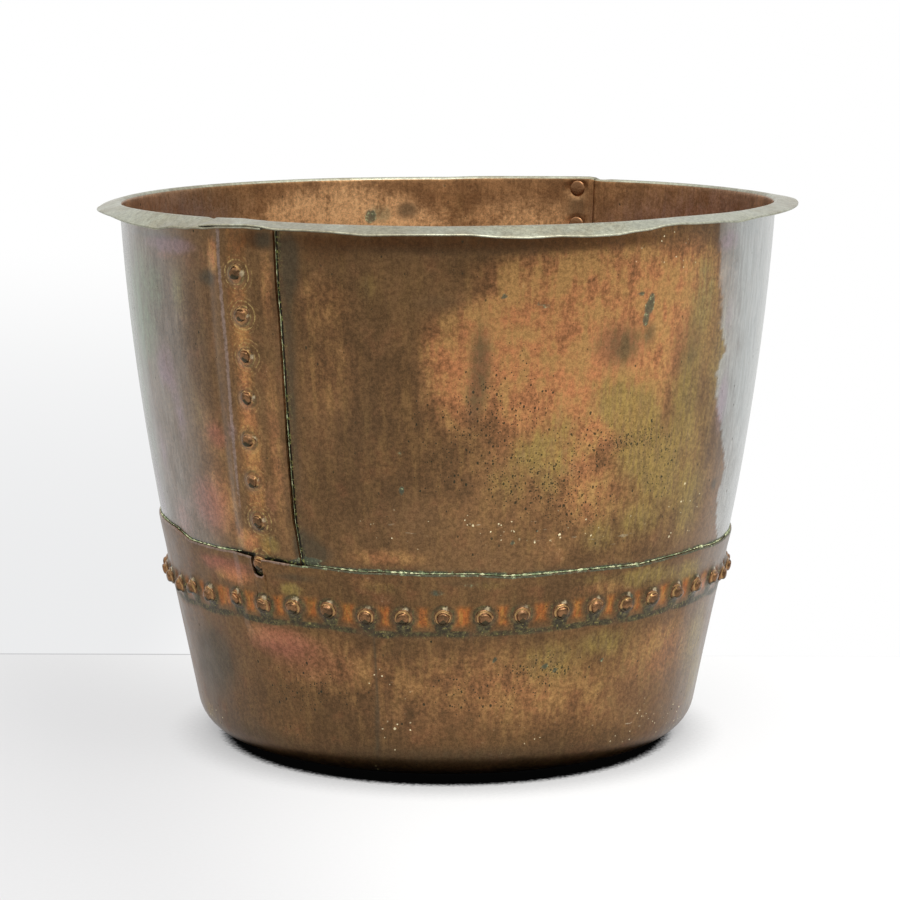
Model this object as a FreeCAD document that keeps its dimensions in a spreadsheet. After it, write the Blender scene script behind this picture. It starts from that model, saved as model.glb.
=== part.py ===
"""Laundry copper: an open riveted boiler of three copper sheets.

Two half-round wall sheets lap at a front and a back seam and turn out into a
drooping flange at the rim.  Their feet stand inside the raised lip of a
round-bottomed pan.  Rivets close both seams and the girth.

The sheets are built of flat panels.  All three share the same azimuths and
levels where the panels meet, so lapped panels lie parallel.

Frame: millimetres, +Z up, origin at the middle of the flat underside.
Azimuths are in degrees, counted from the front (-Y) towards +X.
"""
import FreeCAD, Part
import math
import os
import Sketcher

os.makedirs("parts", exist_ok=True)
doc = FreeCAD.newDocument("laundry_copper")

# ---------------------------------------------------------------- driving sizes
SIZES = [
    ("sheet_thickness", 1.63, "copper sheet, the same for all three pieces"),
    ("lap_film", 0.05, "film of tin between lapped sheets"),
    ("rim_height", 430.0, "top of the rim bend above the ground"),
    ("wall_top_radius", 261.5, "outside of the wall where the rim bend starts"),
    ("wall_bow_radius", 2038.0, "long arc of the wall outline"),
    ("wall_lean", 3.32, "lean of the wall just under the rim, degrees"),
    ("lapped_bend_radius", 0.32, "inside of the rim bend on the sheet that laps outside"),
    ("flange_width", 16.4, "flat of the flange, along its slope"),
    ("flange_droop", 15.0, "slope of the flange below level, degrees"),
    ("base_radius", 173.1, "flat underside of the pan"),
    ("corner_radius", 30.0, "outside of the corner between base and side"),
    ("girth_height", 133.0, "row of girth rivets"),
    ("foot_below_girth", 16.0, "hidden lower edge of the wall sheets"),
    ("opening_below_foot", 19.0, "height over which the pan opens to take the wall"),
    ("lip_above_girth", 32.0, "exposed upper edge of the pan"),
    ("front_seam_azimuth", -36.2, "front seam rivets"),
    ("back_seam_azimuth", 154.1, "back seam rivets"),
    ("lap_behind", 3.5, "seam rivets to the hidden sheet edge, degrees"),
    ("lap_ahead", 7.6, "seam rivets to the exposed sheet edge, degrees"),
    ("joggle_width", 0.8, "step of a sheet over an edge below it, degrees"),
    ("edge_gap", 0.15, "gap between a step and the edge it passes, degrees"),
    ("lowest_rivet_rise", 0.9, "lowest seam rivets above the pan lip"),
    ("front_rivet_drop", 41.5, "highest rivet of the front seam below the rim"),
    ("front_rivet_count", 8, "rivets of the front seam"),
    ("back_rivet_drop", 11.0, "highest rivet of the back seam below the rim"),
    ("back_rivet_count", 9, "rivets of the back seam"),
    ("girth_pitch", 7.5, "spacing of the girth rivets, degrees"),
    ("girth_start", -0.6, "girth rivet nearest the front, degrees"),
    ("rivet_shank_radius", 3.2, "shank of a rivet"),
    ("rivet_hole_gap", 0.05, "clearance of a shank in its hole, all round"),
    ("rivet_head_radius", 6.6, "flat head inside the vessel"),
    ("rivet_head_thickness", 1.7, "flat head inside the vessel"),
    ("rivet_head_bevel", 0.6, "narrowing of the flat head towards its face"),
    ("rivet_tail_radius", 4.9, "hammered end outside, at its root"),
    ("rivet_tail_height", 4.2, "hammered end outside"),
    ("rivet_tail_bevel", 0.8, "narrowing of the hammered end towards its tip"),
    ("seat_gap", 0.15, "clearance under the flat head and the hammered end"),
    ("notch_half_width", 5.6, "notch in the pan lip round a lowest seam rivet"),
    ("notch_depth", 8.0, "foot of the notch below the middle of that rivet"),
]
RIVET_SIDES = 8
BEND_PANELS = 2
CORNER_PANELS = 3
# azimuths nearer than this to a seam's steps don't get an edge of their own
NARROWEST_PANEL = 1.5
# the far half of the girth row has this many rivets fewer than its pitch gives
SPARED_AT_BACK = 2
# a bore pin reaches this many sheets out and in
PIN_REACH = 4
# a panel's edges are looked for this far to either side, degrees
PANEL_SEARCH = 30
TINY = 1e-6

sizes = doc.addObject("Spreadsheet::Sheet", "sizes")
for row, (alias, number, note) in enumerate(SIZES, start=1):
    sizes.set(f"A{row}", note)
    sizes.set(f"B{row}", str(number))
    sizes.setAlias(f"B{row}", alias)
doc.recompute()


def value(expression):
    """Number that an expression on the sheet gives now."""
    result = sizes.evalExpression(str(expression))
    return float(getattr(result, "Value", result))


def size(alias):
    """One driving size as a number."""
    return float(sizes.get(alias))


# ------------------------------------------------- expressions shared by outlines
THICK = "sizes.sheet_thickness"
STEP = "(sizes.sheet_thickness + sizes.lap_film)"
BOW = "sizes.wall_bow_radius"
LEAN = "sizes.wall_lean"
DROOP = "sizes.flange_droop"
FOOT = "(sizes.girth_height - sizes.foot_below_girth)"
LIP = "(sizes.girth_height + sizes.lip_above_girth)"
SIDE_TOP = f"({FOOT} - sizes.opening_below_foot)"
LOWEST = f"({LIP} + sizes.lowest_rivet_rise)"
# inside of the rim bend on the sheet that lies within; the lapping one is tighter
BEND = f"({STEP} + sizes.lapped_bend_radius)"
# centre of the rim bend's arcs, and of the wall's long arcs
BEND_Z = f"(sizes.rim_height - {BEND} - {THICK})"
BEND_R = f"(sizes.wall_top_radius + {BEND} * cos({LEAN}))"
BOW_R = f"(sizes.wall_top_radius - {BOW} * cos({LEAN}))"
BOW_Z = f"({BEND_Z} + ({BOW} + {BEND}) * sin({LEAN}))"


def rivet_height(seam, place):
    """Height of a seam rivet; place 0 is the lowest, and halves lie between two."""
    top = f"(sizes.rim_height - sizes.{seam}_rivet_drop)"
    pitch = f"(({top} - {LOWEST}) / (sizes.{seam}_rivet_count - 1))"
    return f"({LOWEST} + {place} * {pitch})"


# levels where the wall panels meet, between rivets of the seams
LEVELS = [FOOT] + [rivet_height("front", place) for place in (0.5, 2.5, 4.5, 6.5)]


def on_wall(height, offset):
    """Point at a height of the wall outline, moved out square to it by an offset."""
    angle = f"(asin(({height} - {BOW_Z}) / {BOW}) / 1deg)"
    return (f"({BOW_R} + ({BOW} + {offset}) * cos({angle}))",
            f"({BOW_Z} + ({BOW} + {offset}) * sin({angle}))")


def on_bend(angle, radius):
    """Point of the rim bend, at an angle above level and a radius about its centre."""
    return (f"({BEND_R} + ({radius}) * cos({angle}))", f"({BEND_Z} + ({radius}) * sin({angle}))")


def on_lip(offset):
    """Point of the pan lip's edge, on the straight line of the lowest wall panel."""
    low = on_wall(LEVELS[0], offset)
    high = on_wall(LEVELS[1], offset)
    share = f"(({LIP} - {LEVELS[0]}) / ({LEVELS[1]} - {LEVELS[0]}))"
    return tuple(f"({start} + {share} * ({end} - {start}))" for start, end in zip(low, high))


def draw(name, corners):
    """Closed outline in a sketch, every corner bound to the sheet."""
    sketch = doc.addObject("Sketcher::SketchObject", name)
    points = [FreeCAD.Vector(value(x), value(y), 0) for x, y in corners]
    lines = [Part.LineSegment(first, last) for first, last in zip(points, points[1:] + points[:1])]
    sketch.addGeometry(lines, False)
    for index, (x, y) in enumerate(corners):
        before = (index - 1) % len(corners)
        sketch.addConstraint(Sketcher.Constraint("Coincident", before, 2, index, 1))
        for kind, expression, number in (("DistanceX", x, points[index].x), ("DistanceY", y, points[index].y)):
            if abs(number) < TINY:
                axis = -2 if kind == "DistanceX" else -1
                sketch.addConstraint(Sketcher.Constraint("PointOnObject", index, 1, axis))
                continue
            bound = sketch.addConstraint(Sketcher.Constraint(kind, -1, 1, index, 1, number))
            sketch.setExpression(f"Constraints[{bound}]", expression)
    return sketch


def wall_outline(name, layer):
    """Section of a wall sheet and its flange; layer 0 lies inside, 1 outside."""
    sides = []
    for offset in (f"({layer} * {STEP})", f"({layer} * {STEP} - {THICK})"):
        radius = f"({BEND} - {offset})"
        side = [on_wall(level, offset) for level in LEVELS]
        for panel in range(BEND_PANELS + 1):
            turn = f"((90 - {LEAN} + {DROOP}) * {panel / BEND_PANELS})"
            side.append(on_bend(f"(180 - {LEAN} - {turn})", radius))
        last = side[-1]
        side.append((f"({last[0]} + sizes.flange_width * cos({DROOP}))",
                     f"({last[1]} - sizes.flange_width * sin({DROOP}))"))
        sides.append(side)
    return draw(name, sides[0] + sides[1][::-1])


# the pan side runs straight from its corner to where the pan opens for the laps
FOOT_POINT = on_wall(FOOT, STEP)
SIDE_R = f"({FOOT_POINT[0]} - sizes.base_radius)"
SIDE_Z = f"({FOOT_POINT[1]} - sizes.corner_radius)"
SIDE_LONG = f"sqrt({SIDE_R} ^ 2 + {SIDE_Z} ^ 2)"
SIDE_LEAN = f"((atan({SIDE_R} / {SIDE_Z}) - asin(sizes.corner_radius / {SIDE_LONG})) / 1deg)"


def on_corner(share, radius):
    """Point of the pan's rounded corner, from the base (share 0) to the side (1)."""
    angle = f"((90 - {SIDE_LEAN}) * {share} - 90)"
    return (f"(sizes.base_radius + ({radius}) * cos({angle}))",
            f"(sizes.corner_radius + ({radius}) * sin({angle}))")


def pan_outline(name, layer):
    """Half section of the pan, its lip lying over 1 or 2 layers of wall."""
    sides = []
    for inset in ("0", THICK):
        radius = f"(sizes.corner_radius - {inset})"
        offset = f"({layer} * {STEP} - {inset})"
        side = [on_corner(panel / CORNER_PANELS, radius) for panel in range(CORNER_PANELS + 1)]
        last = side[-1]
        rise = f"({SIDE_TOP} - {last[1]} + ({inset}) * sin({SIDE_LEAN}))"
        side.append((f"({last[0]} + {rise} * tan({SIDE_LEAN}))", f"({last[1]} + {rise})"))
        side += [on_wall(FOOT, offset), on_lip(offset)]
        sides.append(side)
    return draw(name, sides[0] + sides[1][::-1])


# -------------------------------------------------------- where the panels meet
def seam_edges(seam):
    """Azimuths at one seam, in order: pan rises, wall rises, wall risen, hidden
    edge, exposed edge, pan falls, pan fallen."""
    middle = size(f"{seam}_seam_azimuth")
    hidden = middle - size("lap_behind")
    exposed = middle + size("lap_ahead")
    gap = size("edge_gap")
    joggle = size("joggle_width")
    return [hidden - gap - 2 * joggle, hidden - gap - joggle, hidden - gap, hidden,
            exposed, exposed + gap, exposed + gap + joggle]


def girth_azimuths():
    """Azimuths of the girth rivets, from the left round by the front.

    The near half keeps the driving pitch.  The far half shares out its arc so
    that no rivet falls on the edge of the back seam.
    """
    pitch = size("girth_pitch")
    reach = round(90 / pitch) + 1
    near = [size("girth_start") + pitch * place for place in range(-reach, reach)]
    span = 360 + near[0] - near[-1]
    far_count = round(span / pitch) - SPARED_AT_BACK
    far = [near[-1] + span * (place + 1) / (far_count + 1) for place in range(far_count)]
    return near + far


FRONT = seam_edges("front")
BACK = seam_edges("back")
GIRTH = girth_azimuths()


def meeting_azimuths():
    """Azimuths where panels of all the sheets meet, once round."""
    fixed = [edge % 360 for edge in FRONT + BACK]
    meets = list(fixed)
    for near, far in zip(GIRTH, GIRTH[1:] + [GIRTH[0] + 360]):
        middle = (near + far) / 2 % 360
        if min(abs(middle - edge) for edge in fixed) > NARROWEST_PANEL:
            meets.append(middle)
    return sorted(meets)


MEETS = meeting_azimuths()


def meets_between(start, stop):
    """Meeting azimuths from start to stop, both included."""
    turns = [azimuth + 360 * turn for turn in (-1, 0, 1) for azimuth in MEETS]
    return [start] + sorted(a for a in turns if start + TINY < a < stop - TINY) + [stop]


def spun(point, azimuth):
    """Point of an outline (radius, height) brought to an azimuth."""
    angle = math.radians(azimuth)
    return FreeCAD.Vector(point.x * math.sin(angle), -point.x * math.cos(angle), point.y)


def panel(*corners):
    """Flat face of some corners."""
    return Part.Face(Part.makePolygon(list(corners) + [corners[0]]))


def corners_of(outline):
    """Corners of an outline sketch, in the order they were drawn."""
    return [line.StartPoint for line in outline.Geometry]


def panelled(name, outlines, stops, closed):
    """Sheet of flat panels that runs round the vessel and steps between layers.

    outlines: outline sketch by layer.  stops: (azimuth, layer) in order, a
    change of layer being a step.  A closed sheet goes once round and has a
    floor between the first and last corners of its outline.
    """
    rows = []
    for (start, layer), (stop, next_layer) in zip(stops, stops[1:]):
        azimuths = meets_between(start, stop) if layer == next_layer else [start, stop]
        for azimuth in azimuths[:-1]:
            rows.append([spun(corner, azimuth) for corner in corners_of(outlines[layer])])
    last_azimuth, last_layer = stops[-1]
    rows.append([spun(corner, last_azimuth) for corner in corners_of(outlines[last_layer])])
    faces = []
    columns = len(rows[0])
    for row, after in zip(rows, rows[1:]):
        for here in range(columns - 1 if closed else columns):
            there = (here + 1) % columns
            square = (row[here], row[there], after[there], after[here])
            square_to = (square[1] - square[0]).cross(square[3] - square[0]).normalize()
            if abs(square_to.dot(square[2] - square[0])) < TINY:
                faces.append(panel(*square))
                continue
            faces.append(panel(square[0], square[1], square[2]))
            faces.append(panel(square[0], square[2], square[3]))
    if closed:
        faces.append(panel(*[row[0] for row in rows[:-1]]))
        faces.append(panel(*[row[-1] for row in rows[:-1]]))
    else:
        faces.append(panel(*rows[0]))
        faces.append(panel(*rows[-1]))
    solid = Part.Solid(Part.Shell(faces))
    if solid.Volume < 0:
        solid.reverse()
    sheet = doc.addObject("Part::Feature", name)
    sheet.Shape = solid
    return sheet


# ------------------------------------------------------------------- rivets
def eight_sided(name, radius, reach):
    """Outline of an eight-sided section, square to X, at a place along it."""
    corners = []
    for side in range(RIVET_SIDES):
        angle = 360 * (side + 0.5) / RIVET_SIDES
        corners.append((f"({radius}) * cos({angle})", f"({radius}) * sin({angle})"))
    outline = draw(name, corners)
    turn = "rotation(vector(0;0;1); 90) * rotation(vector(1;0;0); 90)"
    outline.setExpression("Placement", f"placement(vector({reach}; 0; 0); {turn})")
    return outline


def turned_pin(name, lengths):
    """Solid along X from lengths given as (start, radius, end, radius)."""
    pieces = []
    for index, (start, start_radius, end, end_radius) in enumerate(lengths):
        length = doc.addObject("Part::Loft", f"{name}_length_{index}")
        length.Sections = [eight_sided(f"{name}_start_{index}", start_radius, start),
                           eight_sided(f"{name}_end_{index}", end_radius, end)]
        length.Solid = True
        length.Ruled = True
        pieces.append(length)
    if len(pieces) == 1:
        return pieces[0]
    pin = doc.addObject("Part::MultiFuse", name)
    pin.Shapes = pieces
    return pin


def rivet_master(name, layers):
    """Rivet lying along +X, its place x = 0 at the outside of the inner sheet."""
    top = f"(({layers} - 1) * {STEP} + sizes.seat_gap)"
    under = f"(-{THICK} - sizes.seat_gap)"
    shank = "sizes.rivet_shank_radius"
    head = "sizes.rivet_head_radius"
    tail = "sizes.rivet_tail_radius"
    return turned_pin(name, [
        (f"{under} - sizes.rivet_head_thickness", f"{head} - sizes.rivet_head_bevel", under, head),
        (under, shank, top, shank),
        (top, tail, f"{top} + sizes.rivet_tail_height", f"{tail} - sizes.rivet_tail_bevel"),
    ])


def bore_master(name):
    """Plain pin that cuts a rivet hole through every layer."""
    radius = "sizes.rivet_shank_radius + sizes.rivet_hole_gap"
    reach = f"({PIN_REACH} * {STEP})"
    return turned_pin(name, [(f"-{reach}", radius, reach, radius)])


def seat(azimuth, height):
    """Place on the inner wall sheet's outside: X points out square to its panel."""
    edges = meets_between(azimuth - PANEL_SEARCH, azimuth + PANEL_SEARCH)
    left = max(edge for edge in edges if edge <= azimuth)
    right = min(edge for edge in edges if edge > azimuth)
    line = corners_of(wall_section[0])
    below = max(range(len(LEVELS)), key=lambda level: (line[level].y <= height, level))
    low, high = line[below], line[below + 1]
    corner = spun(low, left)
    across = spun(low, right) - corner
    upward = spun((low + high) * 0.5, (left + right) / 2) - spun(low, (left + right) / 2)
    normal = across.cross(upward).normalize()
    outward = FreeCAD.Vector(math.sin(math.radians(azimuth)), -math.cos(math.radians(azimuth)), 0)
    radius = normal.dot(corner - FreeCAD.Vector(0, 0, height)) / normal.dot(outward)
    turn = FreeCAD.Rotation(normal, across, FreeCAD.Vector(0, 0, 1), "XZY")
    return FreeCAD.Placement(outward * radius + FreeCAD.Vector(0, 0, height), turn)


def repeated(name, master, places):
    """Group of separate copies of a master, one at each place."""
    group = doc.addObject("Part::Feature", name)
    group.Shape = Part.makeCompound([master.Shape.transformed(place.toMatrix()) for place in places])
    return group


def seam_places(seam):
    """Seats of one seam's rivets, evenly spaced up from the lowest."""
    azimuth = size(f"{seam}_seam_azimuth")
    count = int(size(f"{seam}_rivet_count"))
    return [seat(azimuth, value(rivet_height(seam, place))) for place in range(count)]


def crosses_seam(azimuth):
    """Whether a girth rivet passes through the lap of a seam."""
    return any(edges[3] < azimuth < edges[4] for edges in (FRONT, BACK))


wall_section = [wall_outline(f"wall_section_{layer}", layer) for layer in (0, 1)]
pan_section = {layer: pan_outline(f"pan_section_{layer}", layer) for layer in (1, 2)}
rivet_two = rivet_master("rivet_two_layers", 2)
rivet_three = rivet_master("rivet_three_layers", 3)
bore_pin = bore_master("bore_pin")
doc.recompute()

plain_seats = [seat(a, size("girth_height")) for a in GIRTH if not crosses_seam(a)]
crossing_seats = [seat(a, size("girth_height")) for a in GIRTH if crosses_seam(a)]
front_seats = seam_places("front")
back_seats = seam_places("back")

girth_bores = repeated("girth_bores", bore_pin, plain_seats + crossing_seats)
seam_bores = repeated("seam_bores", bore_pin, front_seats + back_seats)
girth_rivets = repeated("girth_rivets", rivet_two, plain_seats)
crossing_rivets = repeated("seam_crossing_rivets", rivet_three, crossing_seats)
front_rivets = repeated("front_seam_rivets", rivet_two, front_seats)
back_rivets = repeated("back_seam_rivets", rivet_two, back_seats)


# ------------------------------------------------------------------- sheets
def bored(name, whole, *tools):
    """Sheet with its holes cut."""
    cutter = doc.addObject("Part::Compound", f"{name}_cutter")
    cutter.Links = list(tools)
    cut = doc.addObject("Part::Cut", name)
    cut.Base = whole
    cut.Tool = cutter
    cut.Refine = False
    return cut


def lip_notch(name, seam):
    """U-shaped cut in the pan lip that clears the lowest rivet of a seam."""
    half = "sizes.notch_half_width"
    top = f"({LIP} + sizes.notch_depth)"
    foot = f"({LOWEST} - sizes.notch_depth)"
    bend = f"({foot} + {half} / 2)"
    corners = [(f"-{half}", top), (f"-{half}", bend), (f"-{half} / 2", foot),
               (f"{half} / 2", foot), (half, bend), (half, top)]
    outline = draw(f"{name}_outline", corners)
    turn = f"rotation(vector(0;0;1); sizes.{seam}_seam_azimuth)"
    outline.setExpression("Placement", f"placement(vector(0;0;0); {turn} * rotation(vector(1;0;0); 90))")
    notch = doc.addObject("Part::Extrusion", name)
    notch.Base = outline
    notch.DirMode = "Normal"
    notch.setExpression("LengthFwd", "sizes.wall_top_radius")
    notch.Solid = True
    return notch


def wall_stops(under, over):
    """A wall sheet starts as the hidden edge of one seam and ends on top of the next."""
    return [(under[3], 0), (over[1], 0), (over[2], 1), (over[4], 1)]


def lip_stops(*seams):
    """The pan lip steps out over each seam and back again, once round."""
    stops = []
    for edges in seams:
        stops += [(edges[0], 1), (edges[1], 2), (edges[5], 2), (edges[6], 1)]
    return stops + [(seams[0][0] + 360, 1)]


next_front = [edge + 360 for edge in FRONT]
left_whole = panelled("left_whole", wall_section, wall_stops(BACK, next_front), False)
right_whole = panelled("right_whole", wall_section, wall_stops(FRONT, BACK), False)
pan_whole = panelled("pan_whole", pan_section, lip_stops(FRONT, BACK), True)

NODES = {
    "base_pan": bored("base_pan", pan_whole, girth_bores, lip_notch("front_notch", "front"),
                      lip_notch("back_notch", "back")),
    "left_wall_sheet": bored("left_wall_sheet", left_whole, girth_bores, seam_bores),
    "right_wall_sheet": bored("right_wall_sheet", right_whole, girth_bores, seam_bores),
    "girth_rivets": girth_rivets,
    "seam_crossing_rivets": crossing_rivets,
    "front_seam_rivets": front_rivets,
    "back_seam_rivets": back_rivets,
}
doc.recompute()

# -------------------------------------------------------------- check and write
for item in doc.Objects:
    if "Invalid" in item.State or "Error" in item.State:
        raise RuntimeError(f"{item.Label} failed: {item.State}")
for node, item in NODES.items():
    item.Label = node
    shape = item.Shape
    if shape.isNull() or not shape.isValid():
        raise RuntimeError(f"{node} has no valid shape")
    print(node, "solids", len(shape.Solids), "volume", round(shape.Volume))
for node, item in NODES.items():
    item.Shape.exportStep(f"parts/{node}.step")
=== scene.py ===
"""Looks of an old laundry copper, laid out as a Blender add-on and run as a script.

The three copper sheets and the rivets are drawn as surfaces of azimuth and height.
Azimuths are in degrees from the front (-Y) towards +X; lengths in the formulas are
millimetres and are turned into metres where a mesh is made.
"""
import math

import bpy
import numpy as np
from bpy.props import FloatProperty, FloatVectorProperty, PointerProperty
from mathutils import Matrix


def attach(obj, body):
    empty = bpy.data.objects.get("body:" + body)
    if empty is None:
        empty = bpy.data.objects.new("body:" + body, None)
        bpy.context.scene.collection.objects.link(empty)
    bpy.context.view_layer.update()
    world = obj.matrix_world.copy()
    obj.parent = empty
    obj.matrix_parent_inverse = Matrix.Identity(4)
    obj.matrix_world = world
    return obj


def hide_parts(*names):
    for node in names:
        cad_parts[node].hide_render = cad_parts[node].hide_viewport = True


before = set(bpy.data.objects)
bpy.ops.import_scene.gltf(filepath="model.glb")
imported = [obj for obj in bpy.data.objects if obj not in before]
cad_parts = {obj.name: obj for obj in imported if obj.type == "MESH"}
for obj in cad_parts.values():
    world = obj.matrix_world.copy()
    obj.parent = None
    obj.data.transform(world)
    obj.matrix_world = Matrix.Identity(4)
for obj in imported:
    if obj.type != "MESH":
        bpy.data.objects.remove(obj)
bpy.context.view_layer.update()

bl_info = {
    "name": "Laundry copper",
    "version": (1, 0, 0),
    "blender": (4, 5, 0),
    "location": "3D View > Sidebar > Copper",
    "description": "Hammered sheets, rivets, crust and patina of an old laundry copper",
    "category": "Object",
}

MM = 0.001

# ------------------------------------------------------------------ section of the sheets
# lengths in millimetres, on the inner sheet's outer side unless a comment says otherwise
THICK = 1.63  # of a sheet
STEP = 1.68  # from one layer to the next: a sheet and its film of tin
RIM = 430.0  # top of the sheet that laps outside
BEND = 2.0  # radius of the bend under the flange
LEAN = 3.32  # outward lean of the wall below the bend, in degrees
BOW = 2038.0  # radius of the wall's long arc
FLANGE = 16.4  # width of the flange past the bend
MOUTH = 261.5  # radius of the wall where the bend begins
REACH = 279.55  # widest radius that the flange may have
BEND_R = MOUTH + BEND * math.cos(math.radians(LEAN))
BEND_Z = RIM - BEND - THICK
BOW_R = MOUTH - BOW * math.cos(math.radians(LEAN))
BOW_Z = BEND_Z + (BOW + BEND) * math.sin(math.radians(LEAN))
FOOT = 117.0  # lower edge of the walls
WALL_TOP = BEND_Z + BEND * math.sin(math.radians(LEAN))
SIDE_TOP = 98.0  # where the pan's side begins to step out over the laps
BASE_R = 173.1  # flat of the base
BASE_START = 18.0  # first ring of the base round its pole
CORNER = 30.0  # outside radius of the pan's corner
BEND_SHARE = 0.3  # share of the way down the flange that is the bend
TIP_TURN = np.radians([22.5, 67.5])[:, None]  # turns of the points that round off an edge

# seam steps, edges and spans, in degrees: where each rise or fall starts and ends
FRONT_RISE = (-42.2, -39.85)
BACK_RISE = (147.3, 150.45)
LEFT_SPAN = (-209.4, -28.6)
RIGHT_SPAN = (-39.7, 161.7)
PAN_FRONT = (-43.9, -41.6, -28.45, -26.3)
PAN_BACK = (145.6, 147.9, 161.85, 164.0)
BACK_MIDDLE = 155  # azimuth from which the back seam's steps are counted
# the walls' columns stand closer beside these lines
SEAM_LINES = (-44, -40.3, -39.4, -36, -33, -28.6, 150, 154, 161.7)
NEAR_SEAM = 1.6
FINE_PITCH = 0.42
WIDE_PITCH = 0.95
WALL_ROWS = 146  # of the wall, from its foot to the bend

# the rim's top, the flange's lower edge and the pan's lip: (azimuth, height)
RIM_TOP = np.array([
    (-180, 427), (-155, 427), (-105, 426.1), (-75, 426.7), (-58, 427.5), (-41, 427.9), (-34.6, 428.7),
    (-28.7, 427.7), (-18, 427.2), (0, 427.1), (8, 427.6), (20, 427.9), (29, 428.4), (41, 429.5),
    (58, 429.5), (65, 429.8), (96, 429.8), (112, 428.7), (130, 428.5), (148.4, 428.1), (151.7, 429.8),
    (164, 428.6), (175, 427.8)])
TIP_EDGE = np.array([
    (-180, 422), (-150, 420.5), (-120, 422.5), (-90, 418.8), (-75, 420.5), (-68, 420.3), (-59, 417.4),
    (-51, 416), (-47, 419.1), (-43.7, 418.8), (-40.4, 421.3), (-37.3, 423.1), (-31.6, 424.5),
    (-28.9, 424), (-26.3, 422.3), (-21.4, 422.5), (-16.7, 421.8), (-12.1, 420.2), (-7.6, 420.9),
    (-2.5, 421.2), (3.3, 421.3), (7.7, 419.4), (12.2, 418.7), (16.8, 419.7), (21.5, 418.8),
    (26.5, 419.4), (29, 421.1), (31.7, 422), (34.5, 424.3), (37.4, 425.1), (40.5, 424.4),
    (43.8, 424.2), (47.3, 424), (51.3, 422.8), (57.3, 424.6), (75, 425.5), (90, 426.2), (110, 424),
    (135, 422), (160, 424)])
LIP_EDGE = np.array([
    (-180, 166), (-120, 168), (-90, 177), (-75, 178), (-65.3, 177.1), (-58.7, 171.2), (-52.9, 171),
    (-48, 170.9), (-41.7, 172.1), (-36, 170.3), (-29.2, 168.7), (-22.9, 167.9), (-17, 166.5),
    (-11.3, 167), (-3, 166.4), (5.3, 166.3), (12.1, 163.9), (19.5, 164.7), (25.5, 165.2), (32, 165),
    (39.3, 164), (47.4, 165.8), (57.8, 166.5), (65.2, 164.6), (90, 165)])
# the lip's notch: its middle and half width in degrees, its foot and its depth
NOTCH = (-36.9, 1.22, 156.0, 5.0)

# ------------------------------------------------------------------------- rivet places
GIRTH_NEAR = np.array([
    (-67.7, 129.4), (-60.6, 132.4), (-53.8, 131.6), (-44.8, 134.1), (-22.9, 134.9), (-15.3, 132.2),
    (-8.1, 132.6), (-0.6, 133.2), (7.2, 132.9), (14.4, 133.8), (22.3, 134.8), (29.6, 136.3),
    (36.7, 134.7), (43.6, 135.7), (51.0, 136.7), (58.5, 136.5), (66.8, 137.2)])
CROSSING = np.array([(-37.3, 133.3), (-30.2, 135.1), (152.1, 133.4), (160.0, 132.8)])
FRONT_SEAM = np.array([
    (-36.3, 388.5), (-35.6, 357.1), (-35.3, 326.3), (-35.7, 294.7), (-36.2, 262.4), (-36.3, 231.0),
    (-36.1, 199.5), (-37.0, 165.5)])
BACK_SEAM = np.array([(154.1, 419 - 31.6 * place) for place in range(9)])
SEAM_SWELL = 2.2  # height in mm of the bosses under the seam rivets


def girth_places():
    """All girth rivets but the seam-crossing ones: the measured near ones, and the rest
    evenly pitched with a small seeded scatter."""
    chance = np.random.default_rng(11)
    left = -0.6 + 7.5 * np.arange(-13, -9)
    right = -0.6 + 7.5 * np.arange(10, 13)
    far = 89.4 + 7.84 * np.arange(1, 22)
    far = np.concatenate([left, right, far])
    far = far[(np.abs(far - 152.1) > 3.5) & (np.abs(far - 160.0) > 3.5)]
    scatter = chance.normal(0, 1, (len(far), 2)) * (0.25, 1.0)
    level = np.interp(far, (-100, -75, 70, 100, 160, 255), (132, 130, 136.5, 134, 133, 132))
    return np.concatenate([GIRTH_NEAR, np.stack([far, level], 1) + scatter])


GIRTH = girth_places()

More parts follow.
